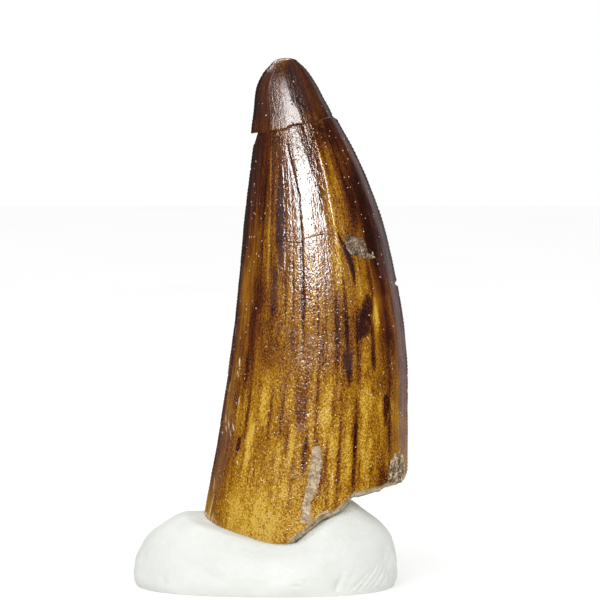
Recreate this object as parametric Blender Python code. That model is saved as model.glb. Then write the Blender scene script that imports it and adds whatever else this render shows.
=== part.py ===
"""Fossil suchomimus tooth standing in a lump of white modelling putty.

Frame: metres, +Z up, +X to the right of the shown face, -Y towards the viewer.
The origin is at the bottom centre of the object's box, on the table.

The crown is one tapered, slightly curved cone, broken across at two places and
glued back, and broken off slantwise at its base.  All of its pieces are lofted
from the same two edge curves, so the breaks meet.
"""

import math

import bmesh
import bpy

MM = 0.001

# ----------------------------------------------------------------- dimensions
# Everything below is in millimetres, and angles are in degrees.  Heights are
# counted from a line TABLE below the table top.

TABLE = 0.5

BREAK_GAP = 0.20          # glue line between two fragments
PUTTY_GAP = 0.20          # between the tooth and the pocket it is pressed into
INLAY_GAP = 0.10          # round each rock inlay

# Crown outline seen from the front: (height z, x) from the base up.
LEFT_EDGE = [(1.0, -6.2), (3.0, -6.0), (6.0, -5.5), (9.0, -4.95), (12.0, -4.35),
             (15.0, -3.9), (18.0, -3.45), (21.0, -3.05), (24.0, -2.7), (27.0, -2.4),
             (30.0, -2.15), (33.0, -1.8), (36.0, -1.45), (38.5, -1.1), (41.0, -0.7)]
RIGHT_EDGE = [(1.0, 11.3), (3.0, 11.4), (6.0, 11.4), (9.0, 11.4), (12.0, 11.4),
              (15.0, 11.4), (18.0, 11.4), (21.0, 11.2), (24.0, 10.8), (27.0, 10.2),
              (30.0, 9.5), (32.0, 8.85), (34.0, 8.1), (36.0, 7.2), (38.0, 6.15),
              (40.0, 5.0), (41.0, 4.35)]

# The tip fragment's own outline, set a little to the left: (drop below the
# apex, x).  The apex is blunt.
TIP_APEX = 44.3
TIP_LEFT = [(0.0, 1.4), (0.16, 0.5), (0.35, 0.25), (0.66, 0.0), (1.3, -0.5),
            (2.3, -1.0), (3.3, -1.2), (4.3, -1.28), (5.3, -1.4), (6.6, -1.55)]
TIP_RIGHT = [(0.0, 1.4), (0.16, 2.17), (0.35, 2.35), (0.66, 2.67), (1.3, 3.17),
             (2.3, 3.83), (3.3, 4.35), (4.3, 4.9), (5.3, 5.3), (6.6, 5.75)]

# Front-to-back depth over width of the oval section, and how far the axis
# leans back, both by height.
DEPTH_RATIO = [(0.0, 0.74), (12.0, 0.75), (25.0, 0.77), (38.0, 0.80), (44.3, 0.84)]
LEAN_BACK = [(0.0, 0.0), (15.0, 0.0), (30.0, 0.25), (44.3, 0.9)]

# Angles of the shallow lengthwise grooves, measured round the section from the
# left edge (0) over the front (90) to the right edge (180), and on over the back.
FRONT_GROOVES = [13, 25, 37, 48, 61, 79, 90, 102, 115.5, 131, 143, 155, 168]
BACK_GROOVES = [192, 205, 218, 230, 243, 256, 269, 282, 295, 308, 321, 334, 347]
GROOVE_DEPTH = 0.07

# Fracture surfaces as heights over x, as the front edge of each break shows.
UPPER_BREAK = [(-1.7, 37.95), (0.0, 38.2), (1.1, 38.4), (1.7, 38.65), (2.9, 38.9),
               (5.6, 39.45)]
LOWER_BREAK = [(-2.6, 28.9), (0.8, 29.1), (2.5, 29.15), (2.85, 29.55), (4.8, 29.7),
               (6.4, 29.55), (9.8, 29.35)]
BASE_BREAK = [(-6.2, 3.3), (-3.0, 3.0), (0.0, 3.4), (1.4, 4.3), (2.5, 5.4), (3.6, 6.3),
              (5.0, 7.15), (6.2, 7.9), (6.9, 8.55), (8.4, 8.9), (9.7, 9.1), (11.5, 9.4)]
BREAK_ROUGHNESS = 0.06    # height of the unevenness of a fracture
BASE_BEVEL = 0.45         # how far the broken underside draws in below the enamel
CHIP_DEPTH = 1.1          # the corner missing from the middle fragment, along z
CHIP_WIDTH = 16.0         # and round the section, in degrees from the left edge

# Rock inlays: (height, centre angle, half width in degrees) rows, bottom to top.
PATCH_ROWS = [(27.7, 139.0, 3.5), (27.95, 133.5, 8.0), (28.2, 126.5, 8.6),
              (28.7, 124.6, 8.8), (29.1, 124.0, 8.6), (29.4, 123.0, 7.8)]
VEIN_ROWS = [(6.2, 90.4, 3.0), (7.0, 89.8, 2.2), (8.0, 90.0, 2.0), (8.8, 91.2, 2.5),
             (9.7, 92.5, 2.8), (11.2, 92.9, 2.9), (12.1, 92.4, 2.6), (12.5, 92.3, 1.5)]
CORNER_ROWS = [(9.2, 155.0, 7.0), (9.6, 156.5, 12.0), (10.2, 157.0, 12.5),
               (11.0, 155.5, 9.5), (11.6, 155.2, 4.5)]
INLAY_DEPTH = 0.45

# Putty lump: plan outline (half sizes about PUTTY_CENTRE) and side profile.
PUTTY_CENTRE_X = 0.75
PUTTY_LEFT = 12.15
PUTTY_RIGHT = 9.8
PUTTY_HALF_DEPTH = 9.0
PUTTY_SQUARENESS = 2.45   # superellipse exponent of the plan outline
CONTACT_RADIUS = 6.25     # where the putty meets the tooth
# Top height where it meets the tooth, by bearing (0 right, 90 back, 180 left,
# 270 front).
CONTACT_HEIGHT = [(-30, 7.8), (0, 7.5), (30, 7.0), (60, 6.1), (90, 5.7), (135, 5.9),
                  (180, 6.35), (215, 5.7), (245, 5.05), (258, 4.7), (270, 4.55),
                  (284, 4.75), (295, 5.75), (305, 6.5), (315, 7.15), (330, 7.8), (360, 7.5)]
# Side profile from the tooth out and down: (part of the way out, part of the
# contact height, the same on the right side, where the shoulder falls away).
PUTTY_PROFILE = [(0.0, 0.985, 1.0), (0.18, 1.0, 0.925), (0.32, 0.985, 0.865),
                 (0.54, 0.855, 0.775), (0.70, 0.74, 0.70), (0.84, 0.60, 0.605),
                 (0.94, 0.43, 0.46), (1.0, 0.22, 0.24), (0.995, 0.09, 0.09),
                 (0.955, 0.0, 0.0)]
RIGHT_SHOULDER = 48.0     # how far round the right side profile reaches, in degrees
PUTTY_CREASES = [  # (bearing, width in degrees, depth in mm): thumb and finger folds
    (318.0, 7.0, 0.45), (340.0, 6.0, 0.35), (236.0, 10.0, 0.25), (262.0, 8.0, 0.2),
    (152.0, 12.0, 0.3), (75.0, 12.0, 0.35), (108.0, 9.0, 0.25)]

TIP_ROWS, MIDDLE_ROWS, BASE_ROWS = 8, 7, 17   # rows of faces up each fragment
PUTTY_COLUMNS = 64


# ------------------------------------------------------------------- helpers
def smooth(stations, at):
    """Cubic curve through stations (position, value); ends are held."""
    if at <= stations[0][0]:
        return stations[0][1]
    if at >= stations[-1][0]:
        return stations[-1][1]
    last = len(stations) - 1
    i = 0
    while at > stations[i + 1][0]:
        i += 1

    def slope(k):
        lo, hi = max(k - 1, 0), min(k + 1, last)
        return (stations[hi][1] - stations[lo][1]) / (stations[hi][0] - stations[lo][0])

    (p0, v0), (p1, v1) = stations[i], stations[i + 1]
    w = p1 - p0
    t = (at - p0) / w
    m0, m1 = slope(i) * w, slope(i + 1) * w
    return ((2 * t ** 3 - 3 * t ** 2 + 1) * v0 + (t ** 3 - 2 * t ** 2 + t) * m0
            + (-2 * t ** 3 + 3 * t ** 2) * v1 + (t ** 3 - t ** 2) * m1)


def straight(stations, at):
    """Straight lines through stations (position, value); ends are held."""
    if at <= stations[0][0]:
        return stations[0][1]
    for (p0, v0), (p1, v1) in zip(stations, stations[1:]):
        if at <= p1:
            return v0 + (v1 - v0) * (at - p0) / (p1 - p0)
    return stations[-1][1]


def by_root(stations):
    """Stations of drop below the apex, against the drop's square root."""
    return [(math.sqrt(drop), x) for drop, x in stations]


TIP_LEFT_ROOT, TIP_RIGHT_ROOT = by_root(TIP_LEFT), by_root(TIP_RIGHT)


def body_edges(z):
    return smooth(LEFT_EDGE, z), smooth(RIGHT_EDGE, z)


def tip_edges(z):
    q = math.sqrt(max(TIP_APEX - z, 0.0))
    return smooth(TIP_LEFT_ROOT, q), smooth(TIP_RIGHT_ROOT, q)


def groove_factor(angle):
    """1 in the bottom of a groove, 0 on the ridge half way to the next one."""
    grooves = FRONT_GROOVES + BACK_GROOVES
    nearest = min(abs(angle - g) for g in grooves)
    return max(0.0, 1.0 - nearest / 5.0)


def section(edges, z, angle, inset=0.0, grooves=True):
    """Point of the crown's side at height z and angle round it."""
    left, right = edges(z)
    a = max((right - left) / 2 - inset, 0.01)
    b = max(smooth(DEPTH_RATIO, z) * (right - left) / 2 - inset, 0.01)
    if grooves:
        cut = GROOVE_DEPTH * groove_factor(angle) * min(1.0, (right - left) / 6.0)
        a, b = a - cut, b - cut
    turn = math.radians(angle)
    x = (left + right) / 2 - a * math.cos(turn)
    y = smooth(LEAN_BACK, z) - b * math.sin(turn)
    return x, y


def uneven(x, y):
    return BREAK_ROUGHNESS * (math.sin(2.1 * x + 1.3 * y) + math.sin(3.1 * y - 1.1 * x + 0.7))


def upper_break(x, y):
    return smooth(UPPER_BREAK, x) + 0.04 * (y + 2.5) + uneven(x, y)


def lower_break(x, y):
    return straight(LOWER_BREAK, x) - 0.03 * (y + 4.0) + uneven(x + 5.0, y)


def base_break(x, y):
    return smooth(BASE_BREAK, x) + 0.05 * (y + 5.0) + 1.5 * uneven(x - 3.0, y)


def meet(edges, angle, height, start, inset=0.0):
    """Height at which the side at this angle meets a fracture surface."""
    z = start
    for _ in range(12):
        x, y = section(edges, z, angle, inset)
        z = height(x, y)
    return z


def columns():
    """Angles of the crown's columns: each groove and each ridge between two."""
    grooves = FRONT_GROOVES + BACK_GROOVES
    angles = []
    for here, following in zip(grooves, grooves[1:] + [grooves[0] + 360]):
        angles.append(here)
        angles.append((here + following) / 2 % 360)
    return sorted(angles)


def add_object(name, mesh_build, colour, roughness, sharp=35.0):
    mesh = bpy.data.meshes.new(name)
    bm = bmesh.new()
    mesh_build(bm)
    bmesh.ops.recalc_face_normals(bm, faces=bm.faces)
    if bm.calc_volume(signed=True) < 0:
        bmesh.ops.reverse_faces(bm, faces=bm.faces)
    bm.to_mesh(mesh)
    bm.free()
    obj = bpy.data.objects.new(name, mesh)
    bpy.context.scene.collection.objects.link(obj)
    mesh.shade_smooth()
    mesh.set_sharp_from_angle(angle=math.radians(sharp))
    material = bpy.data.materials.new(name + "_finish")
    material.use_nodes = True
    shader = material.node_tree.nodes["Principled BSDF"]
    shader.inputs["Base Color"].default_value = (*colour, 1.0)
    shader.inputs["Roughness"].default_value = roughness
    shader.inputs["Metallic"].default_value = 0.0
    material.diffuse_color = (*colour, 1.0)
    mesh.materials.append(material)
    return obj


def vert(bm, x, y, z):
    return bm.verts.new((x * MM, y * MM, (z - TABLE) * MM))


def bridge(bm, lower, upper):
    count = len(lower)
    for i in range(count):
        j = (i + 1) % count
        bm.faces.new((lower[i], lower[j], upper[j], upper[i]))


def close_with_rings(bm, rim, height, rings=(0.72, 0.4)):
    """Closes a rim with a fracture surface: rings drawn in to a centre point."""
    cx = sum(v.co.x for v in rim) / len(rim) / MM
    cy = sum(v.co.y for v in rim) / len(rim) / MM
    outer = rim
    for part in rings:
        ring = []
        for v in rim:
            x = cx + part * (v.co.x / MM - cx)
            y = cy + part * (v.co.y / MM - cy)
            ring.append(vert(bm, x, y, height(x, y)))
        bridge(bm, outer, ring)
        outer = ring
    centre = vert(bm, cx, cy, height(cx, cy))
    for i, v in enumerate(outer):
        bm.faces.new((v, outer[(i + 1) % len(outer)], centre))


def chip(angle):
    """How much of the middle fragment's upper left corner is missing."""
    away = min(angle, 360.0 - angle)
    return CHIP_DEPTH * max(0.0, 1.0 - away / CHIP_WIDTH) ** 0.8


# -------------------------------------------------------------------- pieces
def build_tip(bm):
    angles = columns()
    half = BREAK_GAP / 2

    def under(x, y):
        return upper_break(x, y) + half

    bottoms = [meet(tip_edges, angle, under, 38.5) for angle in angles]
    loops = []
    for row in range(TIP_ROWS):
        part = 1.0 - row / TIP_ROWS        # 1 at the break, near 0 at the apex
        loop = []
        for angle, bottom in zip(angles, bottoms):
            z = TIP_APEX - (TIP_APEX - bottom) * part ** 2 if row else bottom
            x, y = section(tip_edges, z, angle)
            loop.append(vert(bm, x, y, z))
        loops.append(loop)
    for lower, upper in zip(loops, loops[1:]):
        bridge(bm, lower, upper)
    apex = vert(bm, TIP_LEFT[0][1], smooth(LEAN_BACK, TIP_APEX), TIP_APEX)
    top = loops[-1]
    for i, v in enumerate(top):
        bm.faces.new((v, top[(i + 1) % len(top)], apex))
    close_with_rings(bm, loops[0], under)


def build_fragment(bm, bottom_of, top_of, rows, bottom_surface, top_surface, bevel=0.0):
    """A stretch of the crown between two fracture surfaces."""
    angles = columns()
    loops = []
    for row in range(rows + 1):
        part = row / rows
        loop = []
        for angle in angles:
            low, high = bottom_of(angle), top_of(angle)
            z = low + (high - low) * part
            x, y = section(body_edges, z, angle)
            loop.append(vert(bm, x, y, z))
        loops.append(loop)
    for lower, upper in zip(loops, loops[1:]):
        bridge(bm, lower, upper)
    foot = loops[0]
    if bevel:
        drawn = []
        for angle in angles:
            low = bottom_of(angle)
            x, y = section(body_edges, low, angle, bevel)
            drawn.append(vert(bm, x, y, low - bevel * 0.9))
        bridge(bm, drawn, foot)
        foot = drawn
    close_with_rings(bm, foot, bottom_surface)
    close_with_rings(bm, loops[-1], top_surface)


def build_middle(bm):
    half = BREAK_GAP / 2
    angles = columns()
    low = {a: meet(body_edges, a, lambda x, y: lower_break(x, y) + half, 29.5) for a in angles}
    high = {a: meet(body_edges, a, lambda x, y: upper_break(x, y) - half, 38.5) - chip(a)
            for a in angles}
    build_fragment(bm, low.get, high.get, MIDDLE_ROWS,
                   lambda x, y: lower_break(x, y) + half,
                   lambda x, y: upper_break(x, y) - half)


def build_base(bm):
    half = BREAK_GAP / 2
    angles = columns()
    low = {a: meet(body_edges, a, base_break, 6.0) for a in angles}
    high = {a: meet(body_edges, a, lambda x, y: lower_break(x, y) - half, 29.5) for a in angles}
    build_fragment(bm, low.get, high.get, BASE_ROWS,
                   lambda x, y: base_break(x, y) - BASE_BEVEL * 0.9,
                   lambda x, y: lower_break(x, y) - half, BASE_BEVEL)


def row_at(rows, z):
    return (smooth([(r[0], r[1]) for r in rows], z), smooth([(r[0], r[2]) for r in rows], z))


def inlay_block(rows, outer, inner, grow, under=0.0, over=0.0):
    """A block that follows the crown's side, from `outer` to `inner` below it.

    grow widens the outline, and under and over lengthen it below and above.
    """
    low = rows[0][0] - under
    high = rows[-1][0] + over
    steps, across = 6, 6

    def build(bm):
        shells = []
        for depth in (outer, inner):
            shell = []
            for k in range(steps + 1):
                z = low + (high - low) * k / steps
                centre, half = row_at(rows, z)
                left, right = body_edges(z)
                half += math.degrees(grow / ((right - left) / 2))
                line = []
                for i in range(across + 1):
                    angle = centre - half + 2 * half * i / across
                    x, y = section(body_edges, z, angle, depth, grooves=False)
                    line.append(vert(bm, x, y, z))
                shell.append(line)
            shells.append(shell)
        front, back = shells
        for k in range(steps):
            for i in range(across):
                bm.faces.new((front[k][i], front[k][i + 1], front[k + 1][i + 1], front[k + 1][i]))
                bm.faces.new((back[k][i], back[k + 1][i], back[k + 1][i + 1], back[k][i + 1]))
        for k in range(steps):
            bm.faces.new((front[k][0], front[k + 1][0], back[k + 1][0], back[k][0]))
            bm.faces.new((front[k][-1], back[k][-1], back[k + 1][-1], front[k + 1][-1]))
        for i in range(across):
            bm.faces.new((front[0][i], back[0][i], back[0][i + 1], front[0][i + 1]))
            bm.faces.new((front[-1][i], front[-1][i + 1], back[-1][i + 1], back[-1][i]))
    return build


def cut(target, cutter):
    cutter.hide_render = True
    cutter.display_type = "WIRE"
    change = target.modifiers.new("cut_" + cutter.name, "BOOLEAN")
    change.operation = "DIFFERENCE"
    change.solver = "EXACT"
    change.object = cutter


def contact_radius(bearing):
    """Plan radius at which the putty meets the tooth: flat on the right side,
    where the putty stands against the slanted break."""
    turn = math.radians(bearing)
    straight_side = CONTACT_RADIUS / max(math.cos(turn), 0.05)
    across = 6.9 if math.cos(turn) > 0 else CONTACT_RADIUS
    return (straight_side ** -8 + across ** -8) ** (-1 / 8) if math.cos(turn) > 0.05 else across


def outer_radius(bearing):
    turn = math.radians(bearing)
    half = PUTTY_RIGHT if math.cos(turn) > 0 else PUTTY_LEFT
    n = PUTTY_SQUARENESS
    return (abs(math.cos(turn) / half) ** n + abs(math.sin(turn) / PUTTY_HALF_DEPTH) ** n) ** (-1 / n)


def crease(bearing):
    total = 0.0
    for at, width, depth in PUTTY_CREASES:
        away = abs((bearing - at + 180) % 360 - 180)
        total += depth * math.exp(-(away / width) ** 2)
    return total


def build_putty(bm):
    bearings = [360.0 * i / PUTTY_COLUMNS for i in range(PUTTY_COLUMNS)]
    loops = []
    for out, up_left, up_right in reversed(PUTTY_PROFILE):
        loop = []
        for bearing in bearings:
            near, far = contact_radius(bearing), outer_radius(bearing)
            off_right = min(bearing, 360.0 - bearing) / RIGHT_SHOULDER
            up = up_left + (up_right - up_left) * math.exp(-off_right ** 2)
            fold = crease(bearing) * math.sin(math.pi * min(max(out, 0.0), 1.0) * 0.75) ** 2
            radius = near + (far - near) * out - (fold if up_left > 0.0 else 0.0)
            height = TABLE + (smooth(CONTACT_HEIGHT, bearing) - TABLE) * up
            turn = math.radians(bearing)
            loop.append(vert(bm, PUTTY_CENTRE_X + radius * math.cos(turn),
                             radius * math.sin(turn), height))
        loops.append(loop)
    for part, rise in ((0.6, 1.2), (0.3, 1.8)):
        loop = []
        for bearing in bearings:
            turn = math.radians(bearing)
            radius = contact_radius(bearing) * part
            height = smooth(CONTACT_HEIGHT, bearing) + rise
            loop.append(vert(bm, PUTTY_CENTRE_X + radius * math.cos(turn),
                             radius * math.sin(turn), height))
        loops.append(loop)
    for lower, upper in zip(loops, loops[1:]):
        bridge(bm, lower, upper)
    top = vert(bm, PUTTY_CENTRE_X, 0.0, 8.2)
    foot = vert(bm, PUTTY_CENTRE_X, 0.0, TABLE)
    for i in range(PUTTY_COLUMNS):
        j = (i + 1) % PUTTY_COLUMNS
        bm.faces.new((loops[-1][i], loops[-1][j], top))
        bm.faces.new((loops[0][j], loops[0][i], foot))


def build_pocket(bm):
    """The space that the broken base takes up, with the gap all round."""
    angles = columns()
    loops = []
    low = {a: meet(body_edges, a, base_break, 6.0) for a in angles}

    def ring(inset, drop):
        loop = []
        for a in angles:
            x, y = section(body_edges, low[a], a, inset, grooves=False)
            loop.append(vert(bm, x, y, low[a] + drop))
        return loop

    loops.append(ring(BASE_BEVEL - PUTTY_GAP, -BASE_BEVEL * 0.9 - PUTTY_GAP))
    loops.append(ring(-PUTTY_GAP, -PUTTY_GAP))
    for rise in (2.5, 5.0):
        loop = []
        for a in angles:
            x, y = section(body_edges, low[a] + rise, a, -PUTTY_GAP, grooves=False)
            loop.append(vert(bm, x, y, low[a] + rise))
        loops.append(loop)
    top = []
    for a in angles:
        x, y = section(body_edges, 16.0, a, -PUTTY_GAP, grooves=False)
        top.append(vert(bm, x, y, 16.0))
    loops.append(top)
    for lower, upper in zip(loops, loops[1:]):
        bridge(bm, lower, upper)
    close_with_rings(bm, loops[0], lambda x, y: base_break(x, y) - BASE_BEVEL * 0.9 - PUTTY_GAP)
    bm.faces.new(top)


# --------------------------------------------------------------------- build
for thing in list(bpy.data.objects):
    bpy.data.objects.remove(thing, do_unlink=True)

ENAMEL_DARK = (0.12, 0.045, 0.018)
ENAMEL_BROWN = (0.24, 0.10, 0.028)
ENAMEL_AMBER = (0.42, 0.21, 0.05)
ROCK_GREY = (0.42, 0.38, 0.32)
PUTTY_WHITE = (0.86, 0.86, 0.83)

tip = add_object("tooth_tip", build_tip, ENAMEL_DARK, 0.35)
middle = add_object("tooth_middle", build_middle, ENAMEL_BROWN, 0.3)
base = add_object("tooth_base", build_base, ENAMEL_AMBER, 0.35)
putty = add_object("putty_stand", build_putty, PUTTY_WHITE, 0.75)

# The patch is open to the break above it, the other two to the broken underside.
INLAYS = (("matrix_patch", PATCH_ROWS, INLAY_GAP, 0.7),
          ("matrix_vein", VEIN_ROWS, 0.9, INLAY_GAP),
          ("matrix_corner", CORNER_ROWS, 1.0, INLAY_GAP))
for inlay_name, inlay_rows, room_under, room_over in INLAYS:
    cutter = add_object(inlay_name + "_pocket",
                        inlay_block(inlay_rows, -0.6, INLAY_DEPTH + INLAY_GAP, INLAY_GAP,
                                    room_under, room_over),
                        ROCK_GREY, 0.9)
    cut(base, cutter)
    add_object(inlay_name, inlay_block(inlay_rows, 0.04, INLAY_DEPTH, 0.0), ROCK_GREY, 0.9)

pocket = add_object("tooth_socket", build_pocket, PUTTY_WHITE, 0.75)
cut(putty, pocket)
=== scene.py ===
import math

import bpy
import numpy as np
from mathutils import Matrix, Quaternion, Vector


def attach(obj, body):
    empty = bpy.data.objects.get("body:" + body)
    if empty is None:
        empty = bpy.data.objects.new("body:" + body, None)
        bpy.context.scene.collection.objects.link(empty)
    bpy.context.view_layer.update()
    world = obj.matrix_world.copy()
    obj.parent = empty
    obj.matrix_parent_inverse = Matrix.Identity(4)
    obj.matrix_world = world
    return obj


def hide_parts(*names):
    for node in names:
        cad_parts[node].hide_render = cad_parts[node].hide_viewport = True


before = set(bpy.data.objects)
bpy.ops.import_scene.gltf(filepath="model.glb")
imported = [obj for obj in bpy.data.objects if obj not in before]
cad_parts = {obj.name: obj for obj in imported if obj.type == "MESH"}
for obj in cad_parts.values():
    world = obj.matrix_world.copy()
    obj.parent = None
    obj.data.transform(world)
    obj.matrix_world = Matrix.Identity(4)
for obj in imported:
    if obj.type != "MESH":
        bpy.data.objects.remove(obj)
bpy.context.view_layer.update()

MM = 0.001

# =============================================================== dimensions
# Lengths in millimetres and angles in degrees; the angle runs round the crown
# from its left edge (0) over the shown face (90) to its right edge (180), and on
# over the back.  The outline curves are those of the solid construction, with
# heights counted from a line TABLE below the table top.

TABLE = 0.5

LEFT_EDGE = [(1.0, -6.2), (3.0, -6.0), (6.0, -5.5), (9.0, -4.95), (12.0, -4.35),
             (15.0, -3.9), (18.0, -3.45), (21.0, -3.05), (24.0, -2.7), (27.0, -2.4),
             (30.0, -2.15), (33.0, -1.8), (36.0, -1.45), (38.5, -1.1), (41.0, -0.7)]
RIGHT_EDGE = [(1.0, 11.3), (3.0, 11.4), (6.0, 11.4), (9.0, 11.4), (12.0, 11.4),
              (15.0, 11.4), (18.0, 11.4), (21.0, 11.2), (24.0, 10.8), (27.0, 10.2),
              (30.0, 9.5), (32.0, 8.85), (34.0, 8.1), (36.0, 7.2), (38.0, 6.15),
              (40.0, 5.0), (41.0, 4.35)]
TIP_APEX = 44.3
TIP_LEFT = [(0.0, 1.4), (0.16, 0.5), (0.35, 0.25), (0.66, 0.0), (1.3, -0.5),
            (2.3, -1.0), (3.3, -1.2), (4.3, -1.28), (5.3, -1.4), (6.6, -1.55)]
TIP_RIGHT = [(0.0, 1.4), (0.16, 2.17), (0.35, 2.35), (0.66, 2.67), (1.3, 3.17),
             (2.3, 3.83), (3.3, 4.35), (4.3, 4.9), (5.3, 5.3), (6.6, 5.75)]
DEPTH_RATIO = [(0.0, 0.74), (12.0, 0.75), (25.0, 0.77), (38.0, 0.80), (44.3, 0.84)]
LEAN_BACK = [(0.0, 0.0), (15.0, 0.0), (30.0, 0.25), (44.3, 0.9)]

FRONT_GROOVES = [13, 25, 37, 48, 61, 79, 90, 102, 115.5, 131, 143, 155, 168]
BACK_GROOVES = [192, 205, 218, 230, 243, 256, 269, 282, 295, 308, 321, 334, 347]
GROOVES = FRONT_GROOVES + BACK_GROOVES

UPPER_BREAK = [(-1.7, 37.95), (0.0, 38.2), (1.1, 38.4), (1.7, 38.65), (2.9, 38.9),
               (5.6, 39.45)]
LOWER_BREAK = [(-2.6, 28.9), (0.8, 29.1), (2.5, 29.15), (2.85, 29.55), (4.8, 29.7),
               (6.4, 29.55), (9.8, 29.35)]
BASE_BREAK = [(-6.2, 3.3), (-3.0, 3.0), (0.0, 3.4), (1.4, 4.3), (2.5, 5.4), (3.6, 6.3),
              (5.0, 7.15), (6.2, 7.9), (6.9, 8.55), (8.4, 8.9), (9.7, 9.1), (11.5, 9.4)]
BREAK_ROUGHNESS = 0.06
BASE_BEVEL = 0.45

PATCH_ROWS = [(27.7, 139.0, 3.5), (27.95, 133.5, 8.0), (28.2, 126.5, 8.6),
              (28.7, 124.6, 8.8), (29.1, 124.0, 8.6), (29.4, 123.0, 7.8)]
VEIN_ROWS = [(6.2, 90.4, 3.0), (7.0, 89.8, 2.2), (8.0, 90.0, 2.0), (8.8, 91.2, 2.5),
             (9.7, 92.5, 2.8), (11.2, 92.9, 2.9), (12.1, 92.4, 2.6), (12.5, 92.3, 1.5)]
CORNER_ROWS = [(9.2, 155.0, 7.0), (9.6, 156.5, 12.0), (10.2, 157.0, 12.5),
               (11.0, 155.5, 9.5), (11.6, 155.2, 4.5)]

PUTTY_CENTRE_X = 0.75
PUTTY_LEFT = 12.15
PUTTY_RIGHT = 9.8
PUTTY_HALF_DEPTH = 9.0
PUTTY_SQUARENESS = 2.45
CONTACT_RADIUS = 6.25
CONTACT_HEIGHT = [(-30, 7.8), (0, 7.5), (30, 7.0), (60, 6.1), (90, 5.7), (135, 5.9),
                  (180, 6.35), (215, 5.7), (245, 5.05), (258, 4.7), (270, 4.55),
                  (284, 4.75), (295, 5.75), (305, 6.5), (315, 7.15), (330, 7.8), (360, 7.5)]
PUTTY_PROFILE = [(0.0, 0.985, 1.0), (0.18, 1.0, 0.925), (0.32, 0.985, 0.865),
                 (0.54, 0.855, 0.775), (0.70, 0.74, 0.70), (0.84, 0.60, 0.605),
                 (0.94, 0.43, 0.46), (1.0, 0.22, 0.24), (0.995, 0.09, 0.09),
                 (0.955, 0.0, 0.0)]
RIGHT_SHOULDER = 48.0


# ==================================================================== maths
def smooth(stations, at):
    """Cubic curve through stations (position, value); ends are held."""
    p = np.array([s[0] for s in stations], float)
    v = np.array([s[1] for s in stations], float)
    at = np.clip(np.asarray(at, float), p[0], p[-1])
    m = np.empty_like(v)
    m[1:-1] = (v[2:] - v[:-2]) / (p[2:] - p[:-2])
    m[0] = (v[1] - v[0]) / (p[1] - p[0])
    m[-1] = (v[-1] - v[-2]) / (p[-1] - p[-2])
    i = np.clip(np.searchsorted(p, at, side="right") - 1, 0, len(p) - 2)
    w = p[i + 1] - p[i]
    t = (at - p[i]) / w
    return ((2 * t ** 3 - 3 * t ** 2 + 1) * v[i] + (t ** 3 - 2 * t ** 2 + t) * m[i] * w
            + (-2 * t ** 3 + 3 * t ** 2) * v[i + 1] + (t ** 3 - t ** 2) * m[i + 1] * w)


def straight(stations, at):
    return np.interp(at, [s[0] for s in stations], [s[1] for s in stations])


def step(lo, hi, at):
    t = np.clip((np.asarray(at, float) - lo) / (hi - lo), 0.0, 1.0)
    return t * t * (3 - 2 * t)


def _hash(ix, iy, iz, seed):
    h = (ix.astype(np.uint32) * np.uint32(0x8DA6B343)
         ^ iy.astype(np.uint32) * np.uint32(0xD8163841)
         ^ iz.astype(np.uint32) * np.uint32(0xCB1AB31F)
         ^ np.uint32((seed * 0x9E3779B9) & 0xFFFFFFFF))
    h ^= h >> np.uint32(15)
    h *= np.uint32(0x2C1B3C6D)
    h ^= h >> np.uint32(12)
    h *= np.uint32(0x297A2D39)
    h ^= h >> np.uint32(15)
    return h


def noise(x, y, z, seed=0):
    """Smooth gradient noise, about -1 to 1, one cell per unit."""
    x, y, z = np.broadcast_arrays(np.asarray(x, float), np.asarray(y, float), np.asarray(z, float))
    x0, y0, z0 = np.floor(x).astype(np.int64), np.floor(y).astype(np.int64), np.floor(z).astype(np.int64)
    fx, fy, fz = x - x0, y - y0, z - z0
    ux = fx ** 3 * (fx * (fx * 6 - 15) + 10)
    uy = fy ** 3 * (fy * (fy * 6 - 15) + 10)
    uz = fz ** 3 * (fz * (fz * 6 - 15) + 10)
    total = np.zeros(x.shape)
    for cx in (0, 1):
        for cy in (0, 1):
            for cz in (0, 1):
                h = _hash(x0 + cx, y0 + cy, z0 + cz, seed)
                gx = (h & np.uint32(1023)).astype(float) / 511.5 - 1
                gy = ((h >> np.uint32(10)) & np.uint32(1023)).astype(float) / 511.5 - 1
                gz = ((h >> np.uint32(20)) & np.uint32(1023)).astype(float) / 511.5 - 1
                weight = ((ux if cx else 1 - ux) * (uy if cy else 1 - uy) * (uz if cz else 1 - uz))
                total += weight * (gx * (fx - cx) + gy * (fy - cy) + gz * (fz - cz))
    return total * 1.35


def fractal(x, y, z, seed=0, octaves=3, fall=0.5):
    total, size, reach = 0.0, 1.0, 1.0
    for k in range(octaves):
        total = total + size * noise(x * reach, y * reach, z * reach, seed + 17 * k)
        size, reach = size * fall, reach * 2.03
    return total


def around(angle, other):
    """Signed difference of two angles, in degrees, -180 to 180."""
    return (np.asarray(angle, float) - other + 180.0) % 360.0 - 180.0


# ============================================================= crown surface
def body_edges(z):
    return smooth(LEFT_EDGE, z), smooth(RIGHT_EDGE, z)


def tip_edges(z):
    q = np.sqrt(np.maximum(TIP_APEX - np.asarray(z, float), 0.0))
    return (smooth([(math.sqrt(d), x) for d, x in TIP_LEFT], q),
            smooth([(math.sqrt(d), x) for d, x in TIP_RIGHT], q))


def plain_side(edges, z, angle, inset=0.0):
    """The side of the crown before any relief."""
    left, right = edges(z)
    a = np.maximum((right - left) / 2 - inset, 0.004)
    b = np.maximum(smooth(DEPTH_RATIO, z) * (right - left) / 2 - inset, 0.004)
    turn = np.radians(angle)
    return (left + right) / 2 - a * np.cos(turn), smooth(LEAN_BACK, z) - b * np.sin(turn)


def uneven(x, y):
    return BREAK_ROUGHNESS * (np.sin(2.1 * x + 1.3 * y) + np.sin(3.1 * y - 1.1 * x + 0.7))


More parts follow.
